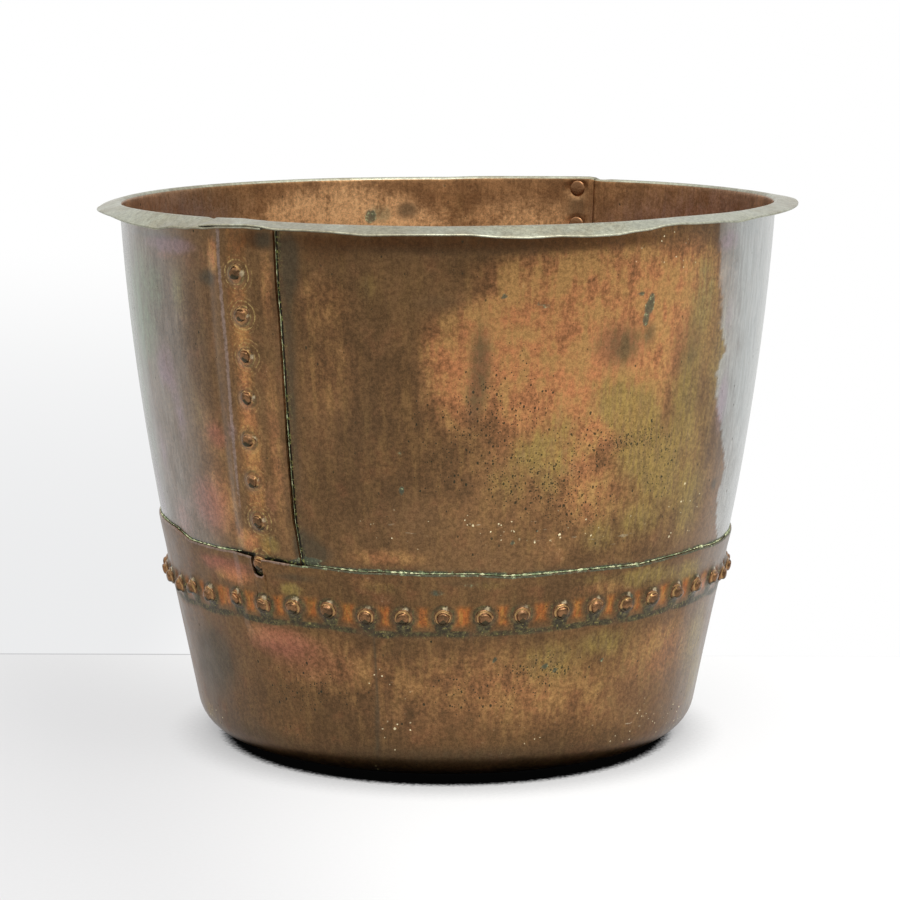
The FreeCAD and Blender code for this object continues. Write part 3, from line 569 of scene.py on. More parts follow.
def base_pan():
    """The round-bottomed pan: its section carried once round and closed at both poles.

    The section is a flat base, a corner arc of radius CORNER, a straight side up to
    SIDE_TOP, and a lip that follows the walls one or two layers out.  Above the wall's
    foot the rows are squeezed so that the last one lies on the lip's edge.
    """
    rivets = np.sort(np.concatenate([GIRTH, CROSSING])[:, 0] % 360)
    gaps = np.diff(np.append(rivets, rivets[0] + 360))
    theta = (rivets[:, None] + gaps[:, None] * np.arange(12) / 12).reshape(-1)
    notch = np.array([0, 0.5, 0.9, 1.1, NOTCH[1], NOTCH[1] + 0.12])
    lines = np.concatenate([PAN_FRONT, PAN_BACK, NOTCH[0] - notch, NOTCH[0] + notch])
    theta = np.unique(np.round(np.concatenate([theta, lines % 360]) % 360, 3))[None, :]
    front = turned(theta, 0)
    layer = 1
    for middle, steps in ((0, PAN_FRONT), (BACK_MIDDLE, PAN_BACK)):
        place = turned(theta, middle)
        up, over, off, down = (step - middle for step in steps)
        layer = layer + rise(place, up, over) - rise(place, off, down)
    foot_slope = math.asin((FOOT - BOW_Z) / BOW)
    foot_r = BOW_R + (BOW + STEP) * math.cos(foot_slope)
    foot_z = BOW_Z + (BOW + STEP) * math.sin(foot_slope)
    reach = math.hypot(foot_r - BASE_R, foot_z - CORNER)
    lean = math.atan((foot_r - BASE_R) / (foot_z - CORNER)) - math.asin(CORNER / reach)
    edge = lip_height(theta)
    sides = []
    # rows of the flat, the corner, the side and the lip, on the outer and the inner side
    for inset, counts in ((0.0, (8, 11, 26, 34)), (THICK, (8, 8, 12, 24))):
        flat = np.linspace(BASE_START, BASE_R, counts[0])
        turn = np.linspace(-math.pi / 2, -lean, counts[1])[1:]
        corner = CORNER - inset
        low_r = np.concatenate([flat, BASE_R + corner * np.cos(turn)])
        low_z = np.concatenate([np.full(len(flat), inset), CORNER + corner * np.sin(turn)])
        up = np.linspace(0, 1, counts[2])[1:, None]
        end_offset = layer * STEP - inset
        top_r = BOW_R + (BOW + end_offset) * math.cos(foot_slope)
        top_z = BOW_Z + (BOW + end_offset) * math.sin(foot_slope)
        single_r = BOW_R + (BOW + STEP - inset) * math.cos(foot_slope)
        side_z = low_z[-1] + up * (top_z - low_z[-1])
        side_r = low_r[-1] + up * (single_r - low_r[-1]) + (top_r - single_r) * rise(side_z, SIDE_TOP, FOOT)
        lift = np.linspace(0, 1, counts[3])[1:, None]
        lip_z = FOOT + lift * (edge - THICK / 2 - FOOT)
        slope = np.arcsin((lip_z - BOW_Z) / BOW)
        lip_r = BOW_R + (BOW + end_offset) * np.cos(slope)
        lip_h = BOW_Z + (BOW + end_offset) * np.sin(slope)
        wide = np.ones_like(theta)
        middle = layer * STEP - THICK / 2
        sign = 1 if inset == 0 else -1
        tip_offset = middle + sign * THICK / 2 * np.cos(TIP_TURN)
        tip_r = BOW_R + (BOW + tip_offset) * np.cos(slope[-1:])
        tip_z = BOW_Z + (BOW + tip_offset) * np.sin(slope[-1:]) + THICK / 2 * np.sin(TIP_TURN)
        radius = np.concatenate([low_r[:, None] * wide, side_r * wide, lip_r * wide, tip_r])
        height = np.concatenate([low_z[:, None] * wide, side_z * wide, lip_h * wide, tip_z])
        way = np.concatenate([np.zeros(len(low_r) + counts[2] - 1), lift[:, 0], [1, 1]])[:, None] * wide
        side = [radius, height, way, np.full(radius.shape, 1.0 if inset else 0.0)]
        sides.append(side if inset == 0 else [part[::-1] for part in side])
    radius, height, way, inner = [np.concatenate(pair) for pair in zip(*sides)]
    azimuth = theta + drift(theta, height) * (height > 110)
    over_seam = ramp(front, -44, -41) * (1 - ramp(front, -33, -29))
    sprung = 0.5 + 0.8 * over_seam + 0.25 * np.sin(np.radians(theta) * 9)
    radius = radius + relief(azimuth, height) + ramp(way, 0.55, 1.0) * sprung
    marks = pan_marks(azimuth, height, inner, way)
    points = placed(radius, azimuth, height).reshape(-1, 3)
    rows, columns = radius.shape
    poles = np.array([(0, 0, 0), (0, 0, THICK)], float)
    ring = np.arange(columns)
    faces = [grid_faces(rows, columns, around_columns=True), fan_faces(ring[::-1], rows * columns),
             fan_faces(ring + (rows - 1) * columns, rows * columns + 1)]
    for kind in marks:
        ends = (marks[kind][0].mean(), marks[kind][-1].mean())
        marks[kind] = np.append(marks[kind].reshape(-1), ends)
    return make_mesh("base_pan", np.concatenate([points, poles]), faces, marks)


# ------------------------------------------------------------------------------ rivets
# half section of a hammered rivet: (height above the outer sheet, radius); the flat
# head's rows hang from the innermost sheet and the ring's and stub's from the outermost
HEAD_ROWS = [(-1.75, 0.0), (-1.75, 5.2), (-1.55, 6.2), (-0.9, 6.9), (-0.2, 6.8), (0.05, 6.4), (0.05, 3.2)]
TAIL_ROWS = [(-0.6, 3.2), (-0.6, 6.6), (-0.1, 6.5), (0.35, 5.9), (0.6, 5.3), (1.1, 4.75), (1.9, 4.45),
             (2.7, 4.1), (3.3, 3.4), (3.65, 2.4), (3.75, 1.3), (3.7, 0.0)]
RIVET_SIDES = 28
BEAD_SIDES = 7  # of a bead of salts


def rivet_set(name, places, layer, swell, seed):
    """Rivets turned from one half section, each on the sheet's own normal.

    A rivet's point is centre + normal * rise + tangent * radius * cos(a) + upward *
    radius * sin(a).  Seeded numbers lean the stub, make it oval and vary its height.
    """
    chance = np.random.default_rng(seed)
    profile = np.array(HEAD_ROWS + TAIL_ROWS)
    count = len(places)
    theta = places[:, 0][:, None, None]
    level = places[:, 1][:, None, None]
    slope = np.arcsin((level - BOW_Z) / BOW)
    is_tail = (np.arange(len(profile)) >= len(HEAD_ROWS))[None, :, None]
    height = profile[:, 0][None, :, None]
    radius = profile[:, 1][None, :, None]
    around_it = (np.arange(RIVET_SIDES) * 2 * math.pi / RIVET_SIDES)[None, None, :]
    lean_way, oval_way, dent_way = chance.uniform(0, 2 * math.pi, (3, count))[:, :, None, None]
    lean, oval, tall = chance.uniform(0.3, 1, (3, count))[:, :, None, None]
    stub = ramp(height, 0.9, 2.5) * is_tail
    wobble = (0.07 * oval * np.cos(2 * (around_it - oval_way)) + 0.05 * np.cos(3 * around_it + dent_way)
              + 0.03 * np.cos(5 * around_it + oval_way))
    radius = radius * (1 + is_tail * wobble)
    height = height + stub * (0.10 * lean * radius * np.cos(around_it - lean_way) + 0.7 * (tall - 0.6))
    shift = stub * 0.5 * lean
    base = np.where(is_tail, layer * STEP, -THICK)
    boss = np.where(is_tail, swell, swell * 0.98)
    out = base + height + 0 * around_it
    side_way = radius * np.cos(around_it) + shift * np.cos(lean_way)
    up_way = radius * np.sin(around_it) + shift * np.sin(lean_way)
    push = dents(theta, level) + boss
    centre_r = BOW_R + BOW * np.cos(slope) + push
    turn = np.radians(theta)
    flat_r = centre_r + out * np.cos(slope) - up_way * np.sin(slope)
    flat_z = level + out * np.sin(slope) + up_way * np.cos(slope)
    x = flat_r * np.sin(turn) + side_way * np.cos(turn)
    y = -flat_r * np.cos(turn) + side_way * np.sin(turn)
    points = np.stack([x, y, flat_z], -1)
    ring_faces = grid_faces(len(profile), RIVET_SIDES, around_columns=True)
    first = np.arange(count) * len(profile) * RIVET_SIDES
    faces = (ring_faces[None] + first[:, None, None]).reshape(-1, 4)
    marks = {
        "ring": is_tail * ramp(radius, 4.6, 5.0) * (1 - ramp(radius, 5.9, 6.2)),
        # lower half of each stub, which takes painted shade
        "below": is_tail * ramp(-np.sin(around_it), 0.1, 0.9) + 0 * radius,
        "inside": ~is_tail + 0 * radius,
    }
    return make_mesh(name, points.reshape(-1, 3), [faces], marks, sharp=42)


# ------------------------------------------------------------------------------- crust
def crust_line(name, theta, height, offset, seed, girth):
    """A thin knobbly bead of salts along a line on the sheets: a small ring of points
    carried along it, with a radius of girth times two smoothed rows of seeded numbers."""
    chance = np.random.default_rng(seed)
    count = len(theta)
    radius = wall_radius(height) + relief(theta, height) + offset
    centre = placed(radius, theta, height)
    way = np.gradient(centre, axis=0)
    way /= np.linalg.norm(way, axis=1)[:, None]
    out = placed(np.ones(count), theta, np.zeros(count))
    across = np.cross(way, out)
    across /= np.linalg.norm(across, axis=1)[:, None]
    knobs = 0.55 + 0.45 * np.convolve(chance.uniform(-1, 1, count + 4), np.ones(3) / 2, "same")[2:-2]
    slow = 0.6 + 0.5 * np.convolve(chance.uniform(-1, 1, count + 40), np.hanning(25) / 3.2, "same")[20:-20]
    size = girth * np.clip(knobs * np.clip(slow, 0.15, 1.2), 0.08, 1.3)
    size[[0, -1]] = 0.02
    first = np.arange(BEAD_SIDES)
    turn = first * 2 * math.pi / BEAD_SIDES
    ring = centre[:, None] + size[:, None, None] * (
        out[:, None] * np.sin(turn)[None, :, None] * 0.8 + across[:, None] * np.cos(turn)[None, :, None])
    faces = grid_faces(count, BEAD_SIDES, around_columns=True)[:, ::-1]
    pole = count * BEAD_SIDES
    ends = [fan_faces(first, pole), fan_faces(first[::-1] + pole - BEAD_SIDES, pole + 1)]
    points = np.concatenate([ring.reshape(-1, 3), centre[:1], centre[-1:]])
    return make_mesh(name, points, [faces] + ends, None, sharp=60)


# -------------------------------------------------------------------- shader arithmetic
class Value:
    """A shader socket that can be reckoned with: each sign adds a Math node."""

    def __init__(self, paint, socket):
        self.paint = paint
        self.socket = socket

    def reckon(self, operation, first, second=0.0):
        return self.paint.add("ShaderNodeMath", {"operation": operation}, {0: first, 1: second})

    def __add__(self, other):
        return self.reckon("ADD", self, other)

    def __sub__(self, other):
        return self.reckon("SUBTRACT", self, other)

    def __mul__(self, other):
        return self.reckon("MULTIPLY", self, other)

    def __rsub__(self, other):
        return self.reckon("SUBTRACT", other, self)

    __radd__ = __add__
    __rmul__ = __mul__

    def greatest(self, other):
        return self.reckon("MAXIMUM", self, other)

    def wave(self):
        return self.reckon("SINE", self)

    def size(self):
        return self.reckon("ABSOLUTE", self)

    def step(self, low, high, top=1.0):
        """Smooth rise from 0 at low to top at high."""
        return self.paint.add("ShaderNodeMapRange", {"interpolation_type": "SMOOTHSTEP"},
                              {"Value": self, "From Min": low, "From Max": high, "To Max": top})


CAMERA_RAY, GLOSSY_RAY, TRANSMISSION_RAY = 0, 3, 6


class Paint:
    """Builds one material's or the world's node tree."""

    def __init__(self, owner):
        owner.use_nodes = True
        self.tree = owner.node_tree
        self.tree.nodes.clear()

    def add(self, kind, settings=None, sockets=None, out=0):
        """Any node: its settings are set first, then its sockets' values or links."""
        node = self.tree.nodes.new(kind)
        for name, setting in (settings or {}).items():
            setattr(node, name, setting)
        for name, wanted in (sockets or {}).items():
            if isinstance(wanted, Value):
                self.tree.links.new(wanted.socket, node.inputs[name])
            else:
                node.inputs[name].default_value = wanted
        return None if out is None else Value(self, node.outputs[out])

    def mix(self, share, first, second, way="MIX"):
        """Colour between two others, or with MULTIPLY one dyed with the other."""
        settings = {"data_type": "RGBA", "blend_type": way}
        return self.add("ShaderNodeMix", settings, {0: share, 6: first, 7: second}, out=2)

    def mark(self, kind):
        """Strength that the mesh carries for one kind of stain."""
        return self.add("ShaderNodeAttribute", {"attribute_name": kind}, out=2)

    def place(self, stretch=(1, 1, 1)):
        """Object coordinates, stretched."""
        here = self.add("ShaderNodeTexCoord", out=3)
        return self.add("ShaderNodeVectorMath", {"operation": "MULTIPLY"}, {0: here, 1: stretch})

    def noise(self, scale, detail=4.0, rough=0.55, stretch=(1, 1, 1)):
        """Cloudy noise on Object coordinates."""
        return self.add("ShaderNodeTexNoise", None, {
            "Vector": self.place(stretch), "Scale": scale, "Detail": detail, "Roughness": rough})

    def cells(self, scale, out=0, stretch=(1, 1, 1)):
        """Distance to the nearest cell's point, or with out=1 that cell's random colour."""
        sockets = {"Vector": self.place(stretch), "Scale": scale}
        return self.add("ShaderNodeTexVoronoi", None, sockets, out=out)

    def part(self, vector, number):
        """One of a vector's three parts."""
        return self.add("ShaderNodeSeparateXYZ", None, {"Vector": vector}, out=number)

    def ray(self, kind):
        """Light Path's output of this number: CAMERA_RAY, GLOSSY_RAY or TRANSMISSION_RAY."""
        return self.add("ShaderNodeLightPath", out=kind)

    def bump(self, strength, distance, height):
        """Normal of a surface with this height."""
        sockets = {"Strength": strength, "Distance": distance, "Height": height}
        return self.add("ShaderNodeBump", None, sockets)

    def blend(self, share, first, second):
        """Shader between two others."""
        return self.add("ShaderNodeMixShader", None, {0: share, 1: first, 2: second})

    def principled(self, base, metallic, roughness, normal=None):
        """Metal or dull surface of these four."""
        sockets = {"Base Color": base, "Metallic": metallic, "Roughness": roughness}
        if normal:
            sockets["Normal"] = normal
        return self.add("ShaderNodeBsdfPrincipled", None, sockets)

    def finish(self, shader):
        self.output("ShaderNodeOutputMaterial", shader)

    def output(self, kind, shader):
        self.add(kind, None, {"Surface": shader}, out=None)


def colour(red, green, blue):
    """Linear colour of screen values from 0 to 255."""
    parts = [value / 255 for value in (red, green, blue)]
    linear = [part / 12.92 if part < 0.04045 else ((part + 0.055) / 1.055) ** 2.4 for part in parts]
    return tuple(linear) + (1.0,)


def opaque(rgb):
    """Colour property as a socket wants it."""
    return tuple(rgb) + (1.0,)


def sheet_material(name, brown, deep, sheen):
    """Old hammered copper sheet under brown patina, stained, and with painted shade, highlights and
    reflection, where the mesh's marks say.
    """
    material = bpy.data.materials.new(name)
    paint = Paint(material)
    large = paint.noise(9, 5, 0.6)
    middle = paint.noise(48, 6, 0.64)
    fine = paint.noise(330, 4, 0.65)
    grit = paint.noise(1000, 3, 0.7)
    streak = paint.noise(16, 6, 0.68, (9, 9, 0.7))
    rain = paint.noise(12, 5, 0.7, (30, 30, 1.6))
    wander = (middle - 0.5) * 1.7 + (large - 0.5) * 1.2 + (streak - 0.5) * 1.6 + (fine - 0.5) * 0.9
    base = paint.mix((large + (middle - 0.5) * 0.5).step(0.36, 0.64), opaque(deep), opaque(brown))
    base = paint.mix(streak.step(0.42, 0.72, 0.5), base, colour(132, 102, 64))
    base = paint.mix(rain.step(0.5, 0.74, 0.42), base, colour(84, 66, 46))
    base = paint.mix(middle.step(0.5, 0.74, 0.4), base, colour(132, 86, 60))
    inside = paint.mark("inside")
    worn = (middle + (rain - 0.5) * 0.6).step(0.4, 0.65)
    gold = paint.mix(worn, colour(152, 112, 76), colour(184, 138, 94))
    base = paint.mix(inside * 0.85, base, gold)

    def stain(kind, top, tint, under, low=0.1, high=0.95):
        """Tint laid over a colour where the mesh is marked, with a wandering edge."""
        return paint.mix((paint.mark(kind) * (wander + 1)).step(low, high, top), under, tint)

    patchy = (middle * 0.6 + streak * 0.4).step(0.42, 0.58)
    rust = paint.mix(patchy, colour(196, 130, 86), colour(186, 142, 88))
    moss = paint.mix(rain.step(0.4, 0.62), colour(152, 132, 72), colour(130, 112, 72))
    fiery = paint.mix(rain.step(0.45, 0.6), colour(182, 102, 48), colour(188, 130, 62))
    for kind, top, tint in (
            # inside, the orange mark takes a bright tint: painted highlight
            ("orange", 0.85, paint.mix(inside, rust, colour(255, 202, 146))),
            ("pink", 0.6, colour(160, 98, 82)), ("olive", 0.7, moss), ("sea", 0.65, colour(118, 136, 108)),
            # flange_shadow lays painted shadow under the flange
            ("flange_shadow", 0.8, colour(80, 50, 26)), ("violet", 0.6, colour(146, 122, 124)),
            ("dark", 0.72, colour(64, 60, 46)), ("groove", 0.66, fiery)):
        base = stain(kind, top, tint, base)
    ring = ((paint.mark("seam") * 1.85) + (middle - 0.5) * 11).wave()
    ring = ring.step(0.25, 0.95) * paint.mark("seam").step(6.0, 8.0) * (1 - paint.mark("seam").step(11, 17))
    ring = ring * paint.mark("ripple") * fine.step(0.4, 0.6)
    base = paint.mix(ring * 0.62, base, colour(196, 170, 108))
    boss = paint.mark("boss")
    base = paint.mix((boss * (1 + wander)).step(0.2, 0.9, 0.5), base, colour(138, 96, 66))
    # crud and painted shade, darkest where that mark says
    grime_and_shade = paint.mix(fine.step(0.45, 0.6), colour(48, 48, 34), colour(78, 76, 48))
    base = stain("crud_and_shade", 0.85, grime_and_shade, base, 0.2, 0.8)
    flecks = paint.mark("crud_and_shade") * paint.noise(520, 2).step(0.6, 0.68)
    base = paint.mix(flecks * 0.6, base, colour(158, 146, 84))

    def dots(scale, kind, size, most, least, stretch=(1, 1, 1)):
        """Small spots in the cells of a grid, in as many cells as the mark says."""
        cell = paint.cells(scale, out=1, stretch=stretch)
        odds = paint.add("ShaderNodeSeparateColor", None, {"Color": cell})
        near = (size + (fine - 0.5) * 1.1 - paint.cells(scale, stretch=stretch)).step(0.0, 0.1)
        return near * (paint.mark(kind) * most + least - odds).step(0.0, 0.02)

    # painted highlight on the bosses, where the glint mark says
    glint = (paint.mark("glint") + (fine - 0.5) * 1.4 + (middle - 0.5) * 1.2).step(0.3, 0.95)
    base = paint.mix(glint * 0.65, base, colour(214, 196, 160))
    pits = dots(360, "pits", 0.3, 0.7, 0.02, (1, 1, 0.7)).greatest(dots(640, "pits", 0.36, 0.55, 0.015))
    base = paint.mix(pits * 0.85, base, colour(46, 50, 38))
    specks = dots(260, "salt", 0.28, 0.05, 0.001).greatest(dots(520, "salt", 0.32, 0.09, 0.003))
    base = paint.mix(specks, base, colour(222, 208, 166))
    scratch = paint.noise(70, 3, 0.6, (1, 1, 5)).step(0.68, 0.71) * paint.mark("salt").step(0.3, 0.8)
    base = paint.mix(scratch * 0.5, base, colour(206, 198, 168))
    cloudy = (large + (middle - 0.5) * 0.6).step(0.4, 0.62)
    beaten = paint.mix(cloudy, colour(158, 160, 143), colour(140, 137, 118))
    base = paint.mix((paint.mark("flange") + (middle - 0.5) * 0.5).step(0.3, 0.7, 0.95), base, beaten)
    # painted highlight on the step ridge and the lip's edge
    wear_and_highlight = (paint.mark("pale") + (fine - 0.5) * 1.4).step(0.35, 0.95, 0.4)
    base = paint.mix(wear_and_highlight, base, colour(158, 142, 138))
    verdigris = (paint.mark("green") * (1 + wander)).step(0.3, 0.6)
    salts = paint.mix(fine.step(0.56, 0.7), colour(62, 70, 50), colour(150, 166, 124))
    base = paint.mix(verdigris * 0.85, base, salts)
    # painted shade in the gaps, flecked with olive salts
    gap = (paint.mark("gap") + (fine - 0.5) * 0.8).step(0.35, 0.7, 0.95)
    gap_shade_and_salts = paint.mix(paint.noise(300, 2).step(0.54, 0.64), colour(22, 24, 16), colour(120, 124, 66))
    base = paint.mix(gap, base, gap_shade_and_salts)
    grain = (fine * 0.55 + grit * 0.45).step(0.36, 0.64)
    shade = paint.mix(grain, (0.69, 0.69, 0.69, 1), (1.27, 1.27, 1.27, 1))
    base = paint.mix(1.0, base, shade, "MULTIPLY")
    height = (middle * 0.5) + (fine * 0.16) - pits * 0.35 + verdigris * 0.2 + specks * 0.2 + ring * 0.35
    height = height + paint.noise(24, 2, 0.4) * 1.1
    bump = paint.bump(0.34, 0.0016, height)
    crud_and_shade = paint.mark("crud_and_shade")
    rough = 0.35 + (middle - 0.5) * 0.3 + verdigris * 0.3 + crud_and_shade * 0.2 + pits * 0.3
    rough = rough - boss * 0.16 - glint * 0.06
    metal = 0.88 - verdigris * 0.7 - specks * 0.8 - crud_and_shade * 0.35 - paint.mark("dark") * 0.15
    body = paint.principled(base, metal, rough, bump)
    # pale glancing sheen, laid on where the sheen mark says: painted reflection
    sheen_tint = paint.mix(rain.step(0.4, 0.62), opaque(sheen), opaque([part * 0.8 for part in sheen]))
    sheen_tint = stain("sea", 0.6, colour(150, 166, 144), sheen_tint)
    sheen_tint = stain("violet", 0.6, colour(166, 152, 168), sheen_tint)
    sheen_tint = paint.mix(0.2, sheen_tint, base)
    bright = paint.principled(sheen_tint, 0.9, 0.22, bump)
    facing = paint.add("ShaderNodeLayerWeight", None, {"Blend": 0.5}, out=1)
    veil = (paint.mark("sheen") * (1 + wander * 0.35)).step(0.05, 1.0)
    share = facing.step(0.3, 0.62, 0.92) * veil * (1 - verdigris * 0.6) * (1 - pits * 0.6)
    paint.finish(paint.blend(share, body, bright))
    return material


def rivet_material(name, tone, gilt):
    """Hammered copper: brown stubs, rubbed gold rings, painted shade on their undersides."""
    material = bpy.data.materials.new(name)
    paint = Paint(material)
    middle = paint.noise(160, 4, 0.6)
    fine = paint.noise(520, 3, 0.6)
    base = paint.mix(middle.step(0.4, 0.62), opaque(tone), colour(96, 72, 50))
    wear_and_highlight = (paint.mark("ring") + (fine - 0.5) * 0.9 + (middle - 0.5) * 1.6).step(0.4, 0.9, 0.6)
    base = paint.mix(wear_and_highlight, base, opaque(gilt))
    # painted shade: the lower half of each stub darker
    crud_and_shade = (paint.mark("below") + (middle - 0.5) * 1.6).step(0.4, 0.85, 0.85)
    base = paint.mix(crud_and_shade, base, colour(52, 52, 38))
    base = paint.mix(paint.mark("inside") * 0.8, base, colour(146, 106, 74))
    bump = paint.bump(0.5, 0.001, middle * 0.5 + fine * 0.3)
    paint.finish(paint.principled(base, 0.9, 0.18 + middle * 0.16, bump))
    return material


def crust_material(name, pale, green):
    """Chalky copper salts, from pale yellow-green to verdigris."""
    material = bpy.data.materials.new(name)
    paint = Paint(material)
    fine = paint.noise(240, 3, 0.6)
    base = paint.mix(fine.step(0.42, 0.6), opaque(green), opaque(pale))
    base = paint.mix(paint.noise(60, 2).step(0.54, 0.66, 0.6), base, colour(92, 98, 58))
    paint.finish(paint.principled(base, 0.1, 0.7))
    return material


# ------------------------------------------------------------------------------- stage
# in metres, but for the floor's corners, which are in mm as every mesh's points are
FELT_CORNERS = np.array([(-6000, -1100, 0), (6000, -1100, 0), (6000, 9000, 0), (-6000, 9000, 0)], float)
FELT_END = (0.225, 0.232)  # depths between which the felt gives way to plain white
HORIZON = 0.229  # depth of the thin line between them
LINE_HALF = 0.004
VESSEL_SHIFT = (0, 0.030, 0)  # brings the painted shadow's middle, a little in front, to the origin
CONTACT = (0.1745, 0.186)  # radii over which the painted shadow under the vessel ends
SOFT_CONTACT = (0.180, 0.230)  # and the painted soft shade round it
LAMP_SIZE = (1.4, 0.9)
LAMP_PLACE = (0.5, -0.9, 2.1)
LAMP_TILT = math.radians(28)
SENSOR = 36.0
CAMERA_PLACE = (0.0024951, -2.4261413, 0.6084873)
SHADE_GREY = colour(120, 120, 122)


def felt_material(felt):
    """White felt under the vessel and a white wall beyond FELT_END, with a thin grey line
    between them, a painted contact shadow under the vessel and painted shade towards the left.
    Camera, mirror and glass rays see it glow; the rest is lit and shaded."""
    material = bpy.data.materials.new("white_felt")
    paint = Paint(material)
    across = paint.part(paint.place(), 0)
    depth = paint.part(paint.place(), 1)
    fluff = paint.noise(300, 3, 0.7)
    tone = paint.mix(fluff.step(0.3, 0.7), opaque([part * 0.955 for part in felt]), opaque(felt))
    far = depth.step(*FELT_END)
    line = (LINE_HALF - (depth - HORIZON).size()).step(0, LINE_HALF)
    # painted shade: grey towards the left, on the wall and on the felt
    left = (0 - across).step(0.12, 0.3)
    shade = paint.mix(line * (0.06 + left * 1.4), (1, 1, 1, 1), SHADE_GREY)
    grey = (1 - depth.step(0.2, 4.4)) * left * far
    shade = paint.mix(grey * 0.5, shade, colour(214, 215, 217))
    near_left = (0 - across - depth * 0.25).step(0.02, 0.34)
    shade = paint.mix(1 - far, shade, colour(250, 250, 250))
    shade = paint.mix((1 - far) * near_left * 0.9, shade, colour(206, 206, 208))
    flat = paint.place((1, 1, 0))
    centred = paint.add("ShaderNodeVectorMath", {"operation": "ADD"}, {0: flat, 1: VESSEL_SHIFT})
    radius = paint.add("ShaderNodeVectorMath", {"operation": "LENGTH"}, {0: centred}, out=1)
    radius = radius + (fluff - 0.5) * 0.012
    # painted contact shadow under the vessel, with painted soft shade round it
    contact_shadow = 1 - radius.step(*CONTACT)
    shade = paint.mix((1 - radius.step(*SOFT_CONTACT)) * 0.5, shade, SHADE_GREY)
    shade = paint.mix(contact_shadow, shade, (0.0015, 0.0015, 0.0015, 1))
    tone = paint.mix(contact_shadow, tone, (0.005, 0.005, 0.005, 1))
    diffuse = paint.add("ShaderNodeBsdfDiffuse", None, {"Color": tone})
    glow = paint.add("ShaderNodeEmission", None, {"Color": shade, "Strength": 1.0})
    seen = paint.ray(CAMERA_RAY).greatest(paint.ray(GLOSSY_RAY)).greatest(paint.ray(TRANSMISSION_RAY))
    cover = far.greatest(0.75).greatest(line.step(0.1, 0.9)).greatest(contact_shadow)
    paint.finish(paint.blend(seen * cover, diffuse, glow))
    return material


def studio_world():
    """Plain soft light by direction, brighter from above and from the white walls behind
    the vessel, and white to the camera."""
    world = bpy.data.worlds.new("studio")
    paint = Paint(world)
    way = paint.add("ShaderNodeTexCoord", out=0)
    x, y, z = (paint.part(way, number) for number in range(3))
    turn = y + x * 0.16
    on_right = x.step(-0.05, 0.05)
    behind = (turn - 0.53).step(0.0, 0.02) * on_right + (turn - 0.43).step(0.0, 0.22) * (1 - on_right)
    above = z.step(0.1, 0.7) * 0.6 + z.step(0.5, 0.75) * 1.3
    level = 0.58 + behind * 0.6 + above * (1 - behind) * 0.75
    tint = paint.mix(behind, (1.0, 0.99, 0.96, 1), (0.95, 0.98, 1.0, 1))
    studio = paint.add("ShaderNodeBackground", None, {"Color": tint, "Strength": level})
    white = paint.add("ShaderNodeBackground", None, {"Color": (1, 1, 1, 1), "Strength": 1.0})
    seen = paint.ray(CAMERA_RAY).greatest(paint.ray(TRANSMISSION_RAY))
    seen = seen.greatest(paint.ray(GLOSSY_RAY) * behind)
    paint.output("ShaderNodeOutputWorld", paint.blend(seen, studio, white))
    return world


# -------------------------------------------------------------------------- properties
class CopperSheets(bpy.types.PropertyGroup):
    """Sizes and colours of the three sheets."""
    edge_stand_off: FloatProperty(
        name="Edge stand-off", description="How far the front lap's edge has sprung away", default=0.0010,
        min=0, max=0.003, unit="LENGTH")
    wall_brown: FloatVectorProperty(
        name="Wall brown", description="Brown patina of the walls", subtype="COLOR", size=3,
        default=colour(122, 92, 62)[:3], min=0, max=1)
    wall_deep: FloatVectorProperty(
        name="Wall shade", description="Darker patina of the walls", subtype="COLOR", size=3,
        default=colour(100, 75, 50)[:3], min=0, max=1)
    pan_brown: FloatVectorProperty(
        name="Pan brown", description="Brown patina of the pan", subtype="COLOR", size=3,
        default=colour(112, 83, 54)[:3], min=0, max=1)
    pan_deep: FloatVectorProperty(
        name="Pan shade", description="Darker patina of the pan", subtype="COLOR", size=3,
        default=colour(96, 72, 48)[:3], min=0, max=1)
    sheen: FloatVectorProperty(
        name="Sheen", description="Pale metal seen at a glancing angle", subtype="COLOR", size=3,
        default=(0.52, 0.57, 0.57), min=0, max=1)


class CopperRivets(bpy.types.PropertyGroup):
    """Sizes and colours of the rivets."""
    girth_swell: FloatProperty(
        name="Girth boss", description="Height of the boss that a girth rivet stands on", default=0.0030,
        min=0, max=0.004, unit="LENGTH")
    seam_swell: FloatProperty(
        name="Seam boss", description="Height of the boss that a seam rivet stands on", default=0.0026,
        min=0, max=0.004, unit="LENGTH")
    tone: FloatVectorProperty(
        name="Rivet tone", description="Patina of the stubs", subtype="COLOR", size=3,
        default=colour(138, 100, 68)[:3], min=0, max=1)
    gilt: FloatVectorProperty(
        name="Rubbed rings", description="Bright rings round the stubs", subtype="COLOR", size=3,
        default=colour(190, 152, 98)[:3], min=0, max=1)


class CopperCrust(bpy.types.PropertyGroup):
    """Salts along the lip and the laps."""
    lip_bead: FloatProperty(
        name="Lip bead", description="Thickness of the salts above the pan's lip", default=0.00115,
        min=0, max=0.003, unit="LENGTH")
    edge_bead: FloatProperty(
        name="Edge bead", description="Thickness of the salts along the laps", default=0.00045,
        min=0, max=0.003, unit="LENGTH")
    pale: FloatVectorProperty(
        name="Pale salts", description="Dry salts", subtype="COLOR", size=3,
        default=colour(214, 216, 172)[:3], min=0, max=1)
    green: FloatVectorProperty(
        name="Green salts", description="Verdigris", subtype="COLOR", size=3,
        default=colour(116, 132, 94)[:3], min=0, max=1)


